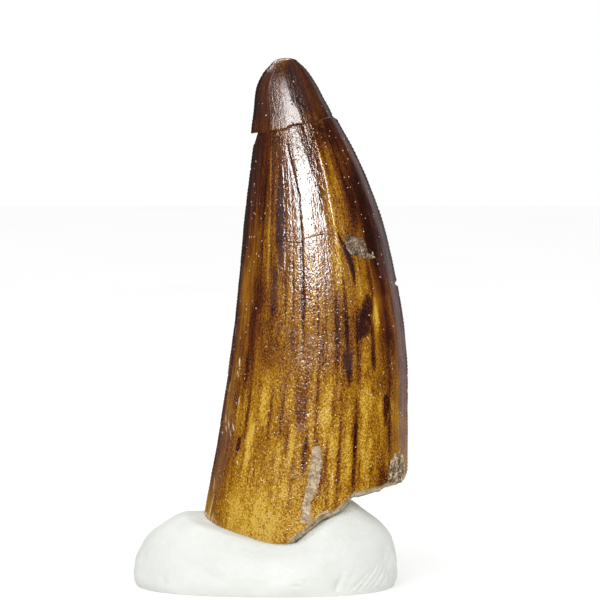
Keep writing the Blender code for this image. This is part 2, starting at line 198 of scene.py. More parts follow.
def upper_break(x, y):
    return smooth(UPPER_BREAK, x) + 0.04 * (y + 2.5) + uneven(x, y)


def lower_break(x, y):
    return straight(LOWER_BREAK, x) - 0.03 * (y + 4.0) + uneven(x + 5.0, y)


def base_break(x, y):
    return smooth(BASE_BREAK, x) + 0.05 * (y + 5.0) + 1.5 * uneven(x - 3.0, y)


def meet(edges, angle, height, start):
    z = np.full(np.shape(angle), float(start))
    for _ in range(14):
        x, y = plain_side(edges, z, angle)
        z = height(x, y)
    return z


def flow(angle, z):
    """Coordinates in which lengthwise features run straight up."""
    turn = np.radians(angle)
    return -7.0 * np.cos(turn), -7.0 * np.sin(turn), z


# Lengthwise ridges that part the crown into flat facets, as (height, angle)
# stations, and how flat the facet to the right of each one is.
RIDGES = [
    ([(0.0, 1.0)], 0.5), ([(0.0, 13.0)], 0.5), ([(0.0, 25.0)], 0.6), ([(0.0, 37.0)], 0.6),
    ([(0.0, 50.0)], 0.7),
    ([(0.0, 57.5), (26.0, 56.5), (29.5, 57.5), (44.0, 57.5)], 0.9),
    ([(0.0, 65.6)], 0.8),
    ([(0.0, 79.0)], 1.0),
    ([(0.0, 89.6), (29.4, 89.6), (30.2, 90.0), (35.0, 88.0), (38.3, 83.0), (40.0, 83.0)], 1.0),
    ([(10.0, 102.0), (24.0, 101.5), (30.8, 100.0), (35.0, 96.0), (38.3, 87.5), (40.0, 87.0)], 0.7),
    ([(0.0, 108.0)], 0.6), ([(0.0, 116.0)], 0.6), ([(0.0, 131.0)], 0.6), ([(0.0, 144.0)], 0.6),
    ([(0.0, 155.0)], 0.5), ([(0.0, 168.0)], 0.4), ([(0.0, 178.0)], 0.4),
    ([(0.0, 192.0)], 0.5), ([(0.0, 205.0)], 0.6), ([(0.0, 219.0)], 0.7), ([(0.0, 230.0)], 0.6),
    ([(0.0, 246.0)], 0.8), ([(0.0, 260.0)], 0.7), ([(0.0, 270.0)], 0.6), ([(0.0, 286.0)], 0.8),
    ([(0.0, 299.0)], 0.6), ([(0.0, 309.0)], 0.7), ([(0.0, 324.0)], 0.6), ([(0.0, 340.0)], 0.5),
    ([(0.0, 352.0)], 0.5)]
TIP_RIDGES = [
    ([(0.0, 1.0)], 0.5), ([(0.0, 28.0)], 0.6),
    ([(38.0, 57.0), (39.0, 56.0), (41.0, 52.4), (43.0, 50.5), (44.3, 50.0)], 0.9),
    ([(38.0, 106.0), (38.7, 104.0), (41.0, 93.0), (43.0, 87.0), (44.3, 85.0)], 0.6),
    ([(0.0, 128.0)], 0.5), ([(0.0, 156.0)], 0.5), ([(0.0, 178.0)], 0.5), ([(0.0, 205.0)], 0.6),
    ([(0.0, 236.0)], 0.7), ([(0.0, 270.0)], 0.7), ([(0.0, 300.0)], 0.7), ([(0.0, 332.0)], 0.6)]
BULGE_HEIGHT = 25.3
BULGE_SPREAD = 3.0
BULGE = 0.11
# Narrow grooves and thin raised lines: (stations, width in degrees, depth in mm,
# lowest and highest place).
LINES = [
    ([(0.0, 79.0), (33.0, 79.0), (37.0, 72.0)], 1.5, 0.075, 20.0, 37.0),
    ([(0.0, 89.6)], 0.8, 0.024, 18.0, 29.3), ([(0.0, 84.0)], 0.7, 0.025, 21.0, 29.3),
    ([(0.0, 65.8)], 0.9, 0.030, 22.0, 36.0), ([(0.0, 102.0)], 1.6, 0.035, 8.0, 24.5),
    ([(0.0, 72.0)], 0.6, 0.015, 24.0, 36.0), ([(0.0, 95.5)], 0.6, 0.018, 12.0, 25.0),
    ([(0.0, 30.5)], 0.9, 0.022, 20.0, 36.0), ([(0.0, 54.0)], 0.7, 0.015, 9.0, 30.0),
    ([(0.0, 116.3)], 1.2, 0.045, 7.5, 26.0), ([(0.0, 106.3)], 0.9, 0.030, 6.0, 14.0),
    ([(0.0, 131.0)], 1.0, 0.028, 12.0, 36.0), ([(0.0, 143.5)], 1.2, 0.025, 8.0, 34.0),
    ([(0.0, 166.0)], 2.0, 0.035, 11.0, 40.0), ([(0.0, 173.0)], 1.6, 0.040, 12.0, 39.5),
    ([(0.0, 50.0)], 0.8, -0.030, 24.0, 36.5), ([(0.0, 108.0)], 0.9, -0.022, 29.0, 36.5),
    ([(0.0, 37.0)], 1.2, 0.025, 8.0, 37.0), ([(0.0, 25.0)], 1.2, 0.022, 5.0, 37.5),
    ([(0.0, 13.0)], 1.5, 0.020, 5.0, 38.0), ([(0.0, 44.0)], 0.8, 0.022, 10.0, 26.0),
    ([(0.0, 71.0)], 0.7, 0.018, 6.0, 22.0), ([(0.0, 123.0)], 0.7, 0.018, 20.0, 36.0),
    ([(0.0, 192.0)], 1.4, 0.030, 6.0, 40.0), ([(0.0, 205.0)], 1.2, 0.030, 4.0, 39.0),
    ([(0.0, 219.0)], 1.4, 0.040, 8.0, 38.0), ([(0.0, 230.0)], 1.0, 0.030, 5.0, 36.0),
    ([(0.0, 246.0)], 1.5, 0.045, 12.0, 39.0), ([(0.0, 260.0)], 1.0, -0.022, 8.0, 37.0),
    ([(0.0, 270.0)], 1.2, 0.035, 4.0, 30.0), ([(0.0, 286.0)], 1.4, 0.045, 9.0, 39.0),
    ([(0.0, 299.0)], 0.9, -0.022, 6.0, 36.0), ([(0.0, 309.0)], 1.2, 0.035, 5.0, 38.0),
    ([(0.0, 324.0)], 1.2, 0.030, 3.0, 37.0), ([(0.0, 340.0)], 1.4, 0.025, 5.0, 38.0)]


def line_at(stations, z):
    return straight(stations, z) if len(stations) > 1 else stations[0][1] + 0.0 * np.asarray(z)


def facets(angle, z, a, b, ridges, most):
    """How far a flat facet lies below the round side."""
    marks = np.stack([line_at(st, z) for st, _ in ridges])
    flat = np.array([f for _, f in ridges])
    turn = np.asarray(angle, float) % 360.0
    wander = 0.8 * noise(turn / 9.0, 0.0, z / 8.0, 8)
    turn = turn + wander
    k = (marks <= turn[None]).sum(0) - 1
    last = k < 0
    k = np.where(last, len(ridges) - 1, k)
    lo = np.take_along_axis(marks, k[None], 0)[0]
    nxt = (k + 1) % len(ridges)
    hi = np.take_along_axis(marks, nxt[None], 0)[0]
    lo = np.where(last, lo - 360.0, lo)
    hi = np.where(nxt == 0, np.where(last, hi, hi + 360.0), hi)
    half = (hi - lo) / 2
    u = np.clip((turn - (lo + hi) / 2) / np.maximum(half, 0.1), -1, 1)
    r = np.radians(angle)
    pace = np.sqrt((a * np.sin(r)) ** 2 + (b * np.cos(r)) ** 2)
    bend = a * b / pace ** 3
    sag = np.minimum(0.5 * bend * (np.radians(half) * pace) ** 2, most)
    round_off = np.sqrt(u * u + 0.006) - math.sqrt(0.006)
    return flat[k] * sag * (1.0 - round_off ** 2)


def relief(angle, z, tip=False):
    """Height of the fine relief over the plain side, in millimetres."""
    fx, fy, fz = flow(angle, z)
    left, right = (tip_edges if tip else body_edges)(z)
    width = right - left
    size = np.clip(width / 12.0, 0.0, 1.3)
    a, b = width / 2, smooth(DEPTH_RATIO, z) * width / 2
    if tip:
        out = -facets(angle, z, a, b, TIP_RIDGES, 0.20)
    else:
        out = -facets(angle, z, a, b, RIDGES, 0.11)
        facing = np.exp(-(around(angle, 88.0) / 42.0) ** 2)
        out = out + BULGE * facing * np.exp(-((z - BULGE_HEIGHT) / BULGE_SPREAD) ** 2)
    for k, (stations, wide, deep, low, high) in enumerate(LINES):
        wander = 0.5 * noise(k * 7.3, 0.0, z / 6.0, 5) + 0.25 * noise(k * 3.1, 0.0, z / 1.8, 6)
        away = around(angle, line_at(stations, z) + wander)
        ends = step(low - 1.2, low + 1.2, z) * step(high + 0.9, high - 0.9, z)
        out = out - deep * (0.8 + 0.5 * noise(k * 5.7, 3.0, z / 3.0, 7)) * np.exp(-(away / wide) ** 2) * ends * (0.4 if tip else 1.0)
    # finer striae
    out = out + 0.010 * noise(fx / 0.34, fy / 0.34, fz / 2.6, 11)
    out = out + 0.006 * noise(fx / 0.17, fy / 0.17, fz / 0.9, 12)
    # broad unevenness
    out = out + 0.030 * fractal(fx / 3.4, fy / 3.4, fz / 5.0, 21, 3)
    out = out + 0.009 * fractal(fx / 0.9, fy / 0.9, fz / 1.0, 23, 2)
    out = out * np.clip(size, 0.25, 1.0)
    # cutting edges: a low keel down each side with fine denticles
    for centre, height in ((0.0, 0.10), (178.0, 0.12)):
        away = around(angle, centre)
        spread = 3.0 * 6.0 / np.clip(width / 2, 1.2, 9.0)
        keel = height * np.exp(-(away / spread) ** 2)
        pitch = 0.30
        tooth = 0.5 + 0.5 * np.sin(2 * np.pi * z / pitch + 2.0 * noise(0.0, centre, z / 2.0, 31))
        worn = np.clip(0.55 + 0.9 * noise(1.0, centre, z / 1.8, 32), 0.0, 1.0)
        keel = keel * (0.72 + 0.5 * tooth * worn)
        nick = step(0.25, 0.7, noise(2.0, centre, z / 0.42, 33)) * 0.7
        out = out + keel * (1.0 - nick)
    return out


# ============================================================= mesh building
class Piece:
    """Gathers vertices, per-vertex values and faces, then makes the object."""

    def __init__(self):
        self.co, self.faces, self.values, self.count = [], [], {}, 0

    def add(self, x, y, z, **values):
        x, y, z = np.broadcast_arrays(x, y, z)
        co = np.stack([x.ravel(), y.ravel(), z.ravel()], 1)
        index = np.arange(len(co)).reshape(x.shape) + self.count
        for name in set(self.values) | set(values):
            have = self.values.setdefault(name, [np.zeros(self.count)] if self.count else [])
            have.append(np.broadcast_to(np.asarray(values.get(name, 0.0), float), x.shape).ravel())
        self.co.append(co)
        self.count += len(co)
        return index

    def quads(self, index, wrap=True):
        """Faces of a grid of vertex numbers (rows, columns)."""
        nxt = np.roll(index, -1, 1) if wrap else index[:, 1:]
        here = index if wrap else index[:, :-1]
        quad = np.stack([here[:-1], nxt[:-1], nxt[1:], here[1:]], -1).reshape(-1, 4)
        self.faces.append(quad)

    def fan(self, ring, centre, flip=False):
        nxt = np.roll(ring, -1)
        tri = np.stack([ring, nxt, np.full(len(ring), centre)], 1)
        self.faces.append(tri[:, ::-1] if flip else tri)

    def make(self, name, material, sharp=None):
        mesh = bpy.data.meshes.new(name)
        co = (np.concatenate(self.co) - (0.0, 0.0, TABLE)) * MM
        loops = np.concatenate([f.ravel() for f in self.faces]).astype(np.int32)
        sizes = np.concatenate([np.full(len(f), f.shape[1]) for f in self.faces]).astype(np.int32)
        starts = np.concatenate([[0], np.cumsum(sizes)[:-1]]).astype(np.int32)
        mesh.vertices.add(len(co))
        mesh.vertices.foreach_set("co", co.astype(np.float32).ravel())
        mesh.loops.add(len(loops))
        mesh.loops.foreach_set("vertex_index", loops)
        mesh.polygons.add(len(sizes))
        mesh.polygons.foreach_set("loop_start", starts)
        mesh.update(calc_edges=True)
        mesh.validate()
        for key, parts in self.values.items():
            layer = mesh.attributes.new(key, "FLOAT", "POINT")
            layer.data.foreach_set("value", np.concatenate(parts).astype(np.float32))
        mesh.shade_smooth()
        if sharp:
            mesh.set_sharp_from_angle(angle=math.radians(sharp))
        mesh.materials.append(material)
        obj = bpy.data.objects.new(name, mesh)
        bpy.context.scene.collection.objects.link(obj)
        return obj


def raised(x, y, z, height):
    """Moves each point of a closed grid (rows, columns) out by height."""
    p = np.stack([x, y, z], -1)
    du = np.roll(p, -1, 1) - np.roll(p, 1, 1)
    dv = np.gradient(p, axis=0)
    n = np.cross(du, dv)
    n /= np.maximum(np.linalg.norm(n, axis=-1, keepdims=True), 1e-12)
    p = p + n * height[..., None]
    return p[..., 0], p[..., 1], p[..., 2]


def close_break(piece, rim, rim_xyz, surface, rings, flip, grain=0.05, seed=40, **values):
    """Fills a rim with a rough fracture surface, drawn in to one point."""
    rx, ry, rz = rim_xyz
    cx, cy = rx.mean(), ry.mean()
    off = rz - surface(rx, ry)
    before = rim
    for k in range(1, rings):
        part = 1.0 - k / rings
        x, y = cx + part * (rx - cx), cy + part * (ry - cy)
        rough = grain * fractal(x / 0.7, y / 0.7, 0.0, seed, 3) * step(1.0, 0.85, part)
        z = surface(x, y) + off * part ** 6 + rough
        ring = piece.add(x, y, z, **values)
        pair = np.stack([before, ring])
        piece.quads(pair[::-1] if flip else pair)
        before = ring
    centre = piece.add(np.array([cx]), np.array([cy]), np.array([surface(cx, cy)]).ravel(), **values)[0]
    piece.fan(before, centre, flip=flip)


# ============================================================ colour pattern
# Tone of the enamel: 0 is nearly black brown, 1 is pale gold.  Soft areas and
# marks are (angle, height, half width in degrees, half height in mm, slant in
# degrees per mm, change of tone); marks have a firmer, ragged outline.
TONE_BY_HEIGHT = [(3.0, 0.79), (7.0, 0.74), (13.0, 0.69), (17.0, 0.65), (21.0, 0.59),
                  (25.0, 0.56), (29.0, 0.48), (33.0, 0.38), (38.0, 0.28), (44.3, 0.20)]
TONE_AREAS = [
    (0.0, 32.0, 12.0, 18.0, 0.0, -0.26),     # dark left cutting edge
    (26.0, 34.0, 24.0, 6.0, 0.0, -0.20),     # dark upper left
    (20.0, 25.6, 10.0, 2.6, 0.0, 0.04),      # amber on the left
    (40.0, 22.6, 5.0, 5.4, 0.0, -0.36),      # olive band beside it
    (52.0, 23.5, 8.0, 3.6, 0.0, -0.14),
    (20.0, 19.5, 14.0, 3.6, 0.0, -0.16),
    (22.0, 11.0, 18.0, 5.0, 0.0, -0.20),     # dull lower left
    (6.0, 12.0, 9.0, 6.0, 0.0, -0.14),
    (9.0, 6.5, 9.0, 3.0, 0.0, 0.14),
    (178.0, 27.0, 30.0, 16.0, 0.0, -0.30),   # dark right cutting edge
    (146.0, 32.0, 17.0, 3.6, 0.0, -0.36),    # dark upper right
    (128.0, 33.2, 7.0, 2.2, 0.0, -0.14),
    (148.0, 27.6, 14.0, 2.4, 0.0, -0.30),
    (130.0, 38.2, 28.0, 1.4, 0.0, -0.16),
    (113.0, 33.2, 11.0, 4.6, 0.8, 0.24),     # amber beside the highlight
    (104.0, 28.6, 5.0, 4.0, 0.0, 0.16),
    (110.0, 26.6, 6.0, 2.8, 0.0, 0.10),
    (120.5, 25.8, 4.4, 2.4, 0.0, 0.16),      # golden run below the rock patch
    (137.0, 26.8, 9.0, 2.6, 0.0, -0.10),
    (142.0, 19.5, 8.0, 5.0, 0.0, -0.30),     # brown right of the middle
    (146.0, 12.0, 9.0, 3.0, 0.0, -0.16),
    (114.0, 22.0, 5.0, 2.4, 0.0, -0.12),
    (107.0, 21.5, 3.0, 3.4, 0.0, -0.16),
    (72.0, 20.0, 22.0, 2.6, 0.0, -0.08),
    (68.0, 15.5, 9.0, 2.8, 0.0, -0.07),
    (65.0, 6.5, 26.0, 3.4, 0.0, 0.16),       # paler towards the broken base
    (133.0, 10.6, 8.0, 2.6, 0.0, -0.12),
    (112.0, 41.6, 22.0, 2.6, 0.0, -0.16),
    (35.0, 41.2, 18.0, 2.6, 0.0, -0.08),
    (50.0, 44.3, 60.0, 0.8, 0.0, 0.20),      # tan at the very tip
    (118.0, 39.2, 16.0, 0.6, 0.0, 0.16),
    (20.0, 38.6, 26.0, 0.7, 0.0, 0.12),
]
TONE_MARKS = [
    (61.2, 31.5, 4.0, 3.4, 0.0, -0.34),      # dark column left of the highlight
    (50.6, 31.5, 1.1, 6.0, 0.0, 0.20),       # light rib, a painted highlight along the raised line
    (56.0, 32.0, 0.9, 5.0, 0.0, 0.12),
    (18.0, 34.0, 1.6, 4.0, 0.0, 0.07),
    (32.0, 34.5, 1.4, 4.0, 0.0, 0.09),
    (43.5, 31.0, 1.2, 5.0, 0.0, -0.16),
    (36.5, 30.5, 1.0, 4.0, 0.0, 0.10),
    (26.0, 29.6, 1.4, 3.4, 0.0, -0.12),
    (108.2, 32.5, 0.9, 4.6, 0.0, 0.18),      # pale rib in the amber, a painted highlight along the raised line
    (116.5, 34.4, 2.8, 2.2, 0.0, 0.12),
    (57.6, 25.2, 2.1, 2.0, 0.0, -0.38),      # dark grooves below the second break, painted shade along the grooves
    (66.4, 24.6, 1.0, 2.4, 0.0, -0.30),
    (79.0, 27.4, 1.4, 5.4, 0.0, -0.34),
    (79.6, 32.6, 1.0, 3.6, 0.0, -0.28),
    (72.0, 26.0, 0.7, 3.0, 0.0, -0.22),
    (83.8, 26.4, 0.8, 2.8, 0.0, -0.26),
    (89.6, 25.4, 0.8, 3.8, 0.0, -0.26),
    (92.6, 21.6, 0.6, 3.0, 0.0, -0.20),
    (90.6, 16.5, 0.7, 4.6, 0.0, -0.28),
    (77.4, 22.4, 0.8, 1.6, 0.0, 0.22),
    (102.2, 21.8, 1.8, 4.0, 0.0, -0.30),
    (108.8, 22.6, 1.4, 4.0, 0.0, -0.30),
    (105.0, 27.5, 0.7, 2.2, 0.0, -0.16),
    (94.5, 22.5, 0.8, 3.4, 0.0, -0.12),
    (83.0, 18.0, 0.9, 4.0, 0.0, -0.14),
    (111.6, 29.1, 1.4, 0.8, -2.4, -0.50),    # dark wedge beside the rock patch
    (114.6, 28.2, 2.2, 1.0, -2.2, -0.60),
    (116.8, 27.3, 1.8, 0.9, -1.0, -0.60),
    (117.4, 26.6, 0.9, 1.1, 0.0, -0.50),
    (126.0, 23.8, 5.0, 1.0, 2.0, -0.42),     # large dark blotch and its tail
    (121.5, 22.3, 5.6, 1.1, 1.0, -0.46),
    (128.5, 20.4, 1.8, 1.9, 0.0, -0.36),
    (118.5, 23.3, 2.0, 0.7, 0.0, -0.22),
    (132.0, 26.0, 1.3, 1.6, 0.0, -0.20),
    (109.0, 19.5, 3.2, 1.0, 0.0, -0.42),     # second blotch
    (110.5, 18.3, 1.8, 1.0, 0.0, -0.34),
    (133.2, 22.9, 2.6, 1.5, 0.0, 0.34),      # amber spot
    (122.0, 19.6, 3.0, 1.1, 0.0, 0.12),
    (117.0, 19.2, 1.8, 1.6, 0.0, -0.16),
    (56.0, 16.6, 3.6, 2.4, 0.0, 0.22),       # golden runs
    (96.0, 15.6, 4.0, 2.6, 0.0, 0.18),
    (88.0, 13.6, 1.6, 2.2, 0.0, 0.14),
    (67.0, 11.6, 5.0, 1.8, 0.0, 0.12),
    (124.0, 15.6, 4.4, 2.0, 0.0, 0.20),
    (134.0, 15.8, 2.0, 1.6, 0.0, 0.14),
    (47.5, 12.5, 2.6, 2.6, 0.0, 0.20),
    (111.8, 12.0, 2.0, 3.0, 0.0, 0.18),
    (124.0, 11.6, 4.0, 2.2, 0.0, 0.14),
    (77.0, 12.4, 1.2, 1.8, 0.0, 0.20),
    (102.5, 11.4, 2.4, 3.0, 0.0, 0.14),
    (33.0, 14.6, 1.6, 1.6, 0.0, 0.14),
    (115.8, 14.2, 2.0, 2.4, 0.0, -0.22),     # brown groove low down
    (116.4, 11.2, 1.6, 3.2, 0.0, -0.34),
    (106.2, 11.2, 1.1, 3.2, 0.0, -0.25),
    (98.6, 11.0, 1.0, 2.6, 0.0, -0.22),
    (120.0, 10.4, 0.8, 1.4, 0.0, -0.20),
    (69.0, 15.2, 1.2, 2.2, 0.0, -0.22),
    (61.0, 15.0, 1.0, 2.6, 0.0, -0.18),
    (73.5, 13.6, 1.0, 2.0, 0.0, -0.18),
    (80.0, 15.6, 1.4, 2.2, 0.0, -0.14),
    (85.8, 11.5, 2.2, 1.5, 0.0, -0.38),      # dark patch left of the vein
    (96.4, 9.4, 0.9, 1.6, 0.0, -0.24),
    (140.0, 15.6, 3.0, 1.2, 0.0, -0.42),     # dark red mark near the right edge
    (143.5, 13.6, 1.4, 1.4, 0.0, -0.26),
    (139.0, 9.6, 4.6, 1.2, 0.0, -0.34),
    (38.5, 12.3, 1.8, 0.7, 0.0, -0.44),      # small dark patch on the left
    (29.0, 16.4, 3.0, 1.2, 0.0, -0.18),
    (36.0, 18.0, 2.4, 2.0, 0.0, -0.12),
    (12.0, 28.9, 5.0, 1.5, 0.0, -0.22),
    (8.0, 21.0, 4.0, 3.0, 0.0, -0.14),
    (43.0, 15.5, 1.2, 2.0, 0.0, -0.26),
]
# Where the brown turns greyish mauve; down the right edge (angles 152 to 164) this greying is a painted sheen
# standing in for the grazing reflection there: (angle, height, half width, half height, amount)
MAUVE_AND_SHEEN_FEATURES = [(18.0, 12.0, 14.0, 4.5, 0.8), (164.0, 19.0, 12.0, 10.0, 0.9),
                  (162.0, 33.0, 12.0, 5.0, 0.6), (40.0, 41.5, 22.0, 3.0, 0.4),
                  (120.0, 42.0, 20.0, 2.5, 0.35), (109.5, 19.4, 4.0, 1.2, 0.5),
                  (57.6, 25.2, 3.0, 2.2, 0.6), (62.0, 31.0, 3.4, 4.0, 0.6),
                  (25.0, 34.5, 12.0, 4.0, 0.2), (152.0, 27.6, 8.0, 2.6, 0.6),
                  (75.0, 22.5, 14.0, 2.6, 0.12)]
# How granular the skin is, over its general run, and where tiny pale dots sit on it, partly stuck grains and partly
# painted glints: (angle, height, half width, half height, amount).
GRAIN_FEATURES = [(84.0, 26.0, 5.5, 3.2, 0.7), (72.0, 26.0, 6.0, 3.5, 0.3),
                  (108.5, 31.5, 1.6, 6.5, 0.8), (57.6, 25.0, 3.0, 2.4, 0.4),
                  (85.0, 37.0, 12.0, 1.6, 0.5), (107.0, 26.5, 2.6, 2.6, 0.6),
                  (163.0, 20.0, 9.0, 12.0, 0.5)]
SPECK_AND_GLINT_FEATURES = [(128.0, 36.0, 24.0, 3.0, 0.9), (110.0, 39.6, 16.0, 0.8, 0.9),
                  (40.0, 30.0, 14.0, 4.5, 0.8), (16.0, 26.0, 16.0, 9.0, 0.5),
                  (30.0, 20.0, 16.0, 5.0, 0.7), (136.0, 33.0, 10.0, 2.0, 0.5),
                  (150.0, 22.0, 10.0, 3.0, 0.5), (118.0, 21.5, 8.0, 2.6, 0.7),
                  (100.0, 20.0, 12.0, 2.6, 0.5), (70.0, 10.5, 40.0, 5.0, 0.7),
                  (125.0, 17.0, 16.0, 1.6, 0.6)]
# Short pale scratches and stuck chips: (angle, height, half width, half height, slant)
SCRATCHES = [(26.4, 19.2, 0.9, 0.34, -2.0), (25.0, 18.3, 0.6, 0.16, 0.0),
             (27.0, 18.1, 0.5, 0.12, 0.0), (20.0, 13.6, 0.5, 0.22, -6.0),
             (23.5, 14.0, 0.5, 0.30, -5.0), (16.5, 14.4, 0.5, 0.35, -4.0),
             (13.0, 13.2, 1.5, 0.07, 0.0), (30.0, 13.8, 0.5, 0.30, -5.0),
             (27.5, 13.3, 0.4, 0.22, -5.0), (13.5, 17.0, 0.4, 0.40, 0.0),
             (10.0, 21.6, 0.4, 0.50, 0.0), (129.5, 28.1, 0.8, 0.07, 0.0),
             (140.0, 28.2, 0.5, 0.10, 0.0), (144.0, 27.3, 0.6, 0.06, 0.0),
             (15.0, 9.0, 0.5, 0.55, -3.0), (18.0, 7.2, 0.4, 0.9, 1.5),
             (22.0, 5.8, 0.4, 0.8, 1.5), (32.0, 16.0, 0.4, 0.3, 0.0)]


def oval(angle, z, at, up, wide, high, slant):
    away = around(angle, at + slant * (np.asarray(z) - up)) / wide
    return np.sqrt(away ** 2 + ((z - up) / high) ** 2)


def enamel_tone(angle, z):
    fx, fy, fz = flow(angle, z)
    tone = smooth(TONE_BY_HEIGHT, z)
    # lengthwise streaks, wide and narrow
    streak = 0.10 * fractal(fx / 1.5, fy / 1.5, fz / 8.0, 51, 2)
    streak = streak + 0.15 * noise(fx / 0.50, fy / 0.50, fz / 4.5, 53)
    streak = streak + 0.13 * noise(fx / 0.22, fy / 0.22, fz / 2.4, 54)
    tone = tone + streak
    # mottling
    tone = tone + 0.08 * fractal(fx / 1.1, fy / 1.1, fz / 1.7, 57, 3)
    # painted shade and highlight: the tone darkens in each groove in proportion to its depth, and lightens along the
    # raised lines (negative depth)
    for k, (stations, wide, deep, low, high) in enumerate(LINES):
        ends = step(low - 1.2, low + 1.2, z) * step(high + 0.9, high - 0.9, z)
        tone = tone - 1.8 * deep * np.exp(-(around(angle, line_at(stations, z)) / (0.8 * wide)) ** 2) * ends
    soft = 0.25 * fractal(fx / 1.6, fy / 1.6, fz / 2.6, 59, 3)
    ragged = 0.38 * fractal(fx / 0.6, fy / 0.6, fz / 1.0, 60, 3)
    for firm, features in ((0, TONE_AREAS), (1, TONE_MARKS)):
        for at, up, wide, high, slant, change in features:
            for copy in (0, 1):
                # the back carries marks of the same kind, turned and shifted
                if copy:
                    at, up, change = 360.0 - at + 7.0, up + 1.7 * math.sin(at), change * 0.8
                far = oval(angle, z, at, up, wide, high, slant)
                if firm:
                    tone = tone + change * step(1.35, 0.60, far + ragged)
                else:
                    tone = tone + change * step(1.45, 0.25, far + soft)
    return np.clip(tone, 0.0, 1.0)


def spread(angle, z, features, start, seed):
    """Largest amount of any of the features here, ragged at their edges."""
    fx, fy, fz = flow(angle, z)
    total = np.full(np.shape(angle), float(start))
    wobble = 0.3 * fractal(fx / 1.1, fy / 1.1, fz / 1.6, seed, 3)
    for at, up, wide, high, amount in features:
        for copy in (0, 1):
            if copy:
                at = 360.0 - at
            far = np.sqrt((around(angle, at) / wide) ** 2 + ((z - up) / high) ** 2) + wobble
            total = np.maximum(total, amount * step(1.3, 0.4, far))
    return total


def enamel_pale(angle, z):
    """The short scratches and stuck chips."""
    total = np.zeros(np.shape(angle))
    fx, fy, fz = flow(angle, z)
    wobble = 0.35 * noise(fx / 0.16, fy / 0.16, fz / 0.16, 68)
    for at, up, wide, high, slant in SCRATCHES:
        for turn, rise in ((at, up), (360.0 - at - 9.0, up - 3.1)):
            total = np.maximum(total, step(1.35, 0.75, oval(angle, z, turn, rise, wide, high, slant) + wobble))
    return total


def enamel_grain(angle, z):
    """How strongly the skin is granulated, 0 to 1."""
    fx, fy, fz = flow(angle, z)
    off = np.abs(around(angle, 86.0))
    centre = step(62.0, 30.0, off)
    low = step(26.0, 16.0, z) * step(74.0, 58.0, off)
    back = 0.7 * step(60.0, 30.0, np.abs(around(angle, 262.0)))
    side = 0.55 * step(28.0, 14.0, np.abs(around(angle, 168.0)))
    grain = np.maximum(np.maximum(centre, low), np.maximum(back, side))
    polished = step(11.0, 8.0, np.abs(around(angle, 90.0))) * step(27.0, 29.0, z)
    grain = grain * (1.0 - 0.45 * polished)
    grain = grain + spread(angle, z, GRAIN_FEATURES, 0.0, 64)
    return np.clip(grain + 0.25 * fractal(fx / 1.2, fy / 1.2, fz / 3.0, 65, 2), 0.0, 1.6)


# ================================================================ materials
def new_material(name):
    m = bpy.data.materials.new(name)
    m.use_nodes = True
    return m, m.node_tree, m.node_tree.nodes["Principled BSDF"]


class Nodes:
    """Short calls for adding linked nodes."""

    def __init__(self, tree):
        self.tree = tree

    def add(self, kind, **settings):
        node = self.tree.nodes.new("ShaderNode" + kind)
        for key, value in settings.items():
            setattr(node, key, value)
        return node

    def put(self, value, socket):
        if isinstance(value, bpy.types.NodeSocket):
            self.tree.links.new(value, socket)
        else:
            socket.default_value = value

    def attribute(self, name):
        return self.add("Attribute", attribute_name=name).outputs["Fac"]

    def math(self, operation, a, b=0.0, clamp=False):
        node = self.add("Math", operation=operation, use_clamp=clamp)
        self.put(a, node.inputs[0])
        self.put(b, node.inputs[1])
        return node.outputs[0]

    def vector(self, x, y, z):
        node = self.add("CombineXYZ")
        for value, socket in zip((x, y, z), node.inputs):
            self.put(value, socket)
        return node.outputs[0]

    def scaled(self, vector, x, y, z):
        node = self.add("VectorMath", operation="MULTIPLY")
        self.put(vector, node.inputs[0])
        node.inputs[1].default_value = (x, y, z)
        return node.outputs[0]

    def noise(self, vector, scale, detail=2.0, roughness=0.5, distortion=0.0):
        node = self.add("TexNoise")
        self.put(vector, node.inputs["Vector"])
        node.inputs["Scale"].default_value = scale
        node.inputs["Detail"].default_value = detail
        node.inputs["Roughness"].default_value = roughness
        node.inputs["Distortion"].default_value = distortion
        return node.outputs[0]

    def voronoi(self, vector, scale, feature="F1"):
        node = self.add("TexVoronoi", feature=feature)
        self.put(vector, node.inputs["Vector"])
        node.inputs["Scale"].default_value = scale
        return node.outputs["Distance"]

    def ramp(self, value, stops):
        node = self.add("ValToRGB")
        self.put(value, node.inputs[0])
        elements = node.color_ramp.elements
        while len(elements) < len(stops):
            elements.new(0.5)
        for element, (at, colour) in zip(elements, stops):
            element.position = at
            element.color = (*colour, 1.0) if len(colour) == 3 else colour
        return node.outputs[0]

    def mix(self, factor, a, b, blend="MIX"):
        node = self.add("Mix", data_type="RGBA", blend_type=blend)
        self.put(factor, node.inputs[0])
        for value, socket in ((a, node.inputs[6]), (b, node.inputs[7])):
            if isinstance(value, tuple):
                value = (*value, 1.0) if len(value) == 3 else value
            self.put(value, socket)
        return node.outputs[2]

    def bump(self, height, distance, strength=1.0, normal=None):
        node = self.add("Bump")
        node.inputs["Strength"].default_value = strength
        node.inputs["Distance"].default_value = distance
        self.put(height, node.inputs["Height"])
        if normal is not None:
            self.put(normal, node.inputs["Normal"])
        return node.outputs[0]


def srgb(r, g, b):
    return tuple(((c / 255) / 12.92 if c / 255 <= 0.04045 else ((c / 255 + 0.055) / 1.055) ** 2.4)
                 for c in (r, g, b))


ENAMEL_STOPS = [(0.0, srgb(34, 12, 5)), (0.18, srgb(62, 25, 10)), (0.34, srgb(88, 44, 12)),
                (0.50, srgb(118, 70, 12)), (0.66, srgb(145, 97, 14)), (0.82, srgb(173, 127, 24)),
                (1.0, srgb(201, 164, 68))]


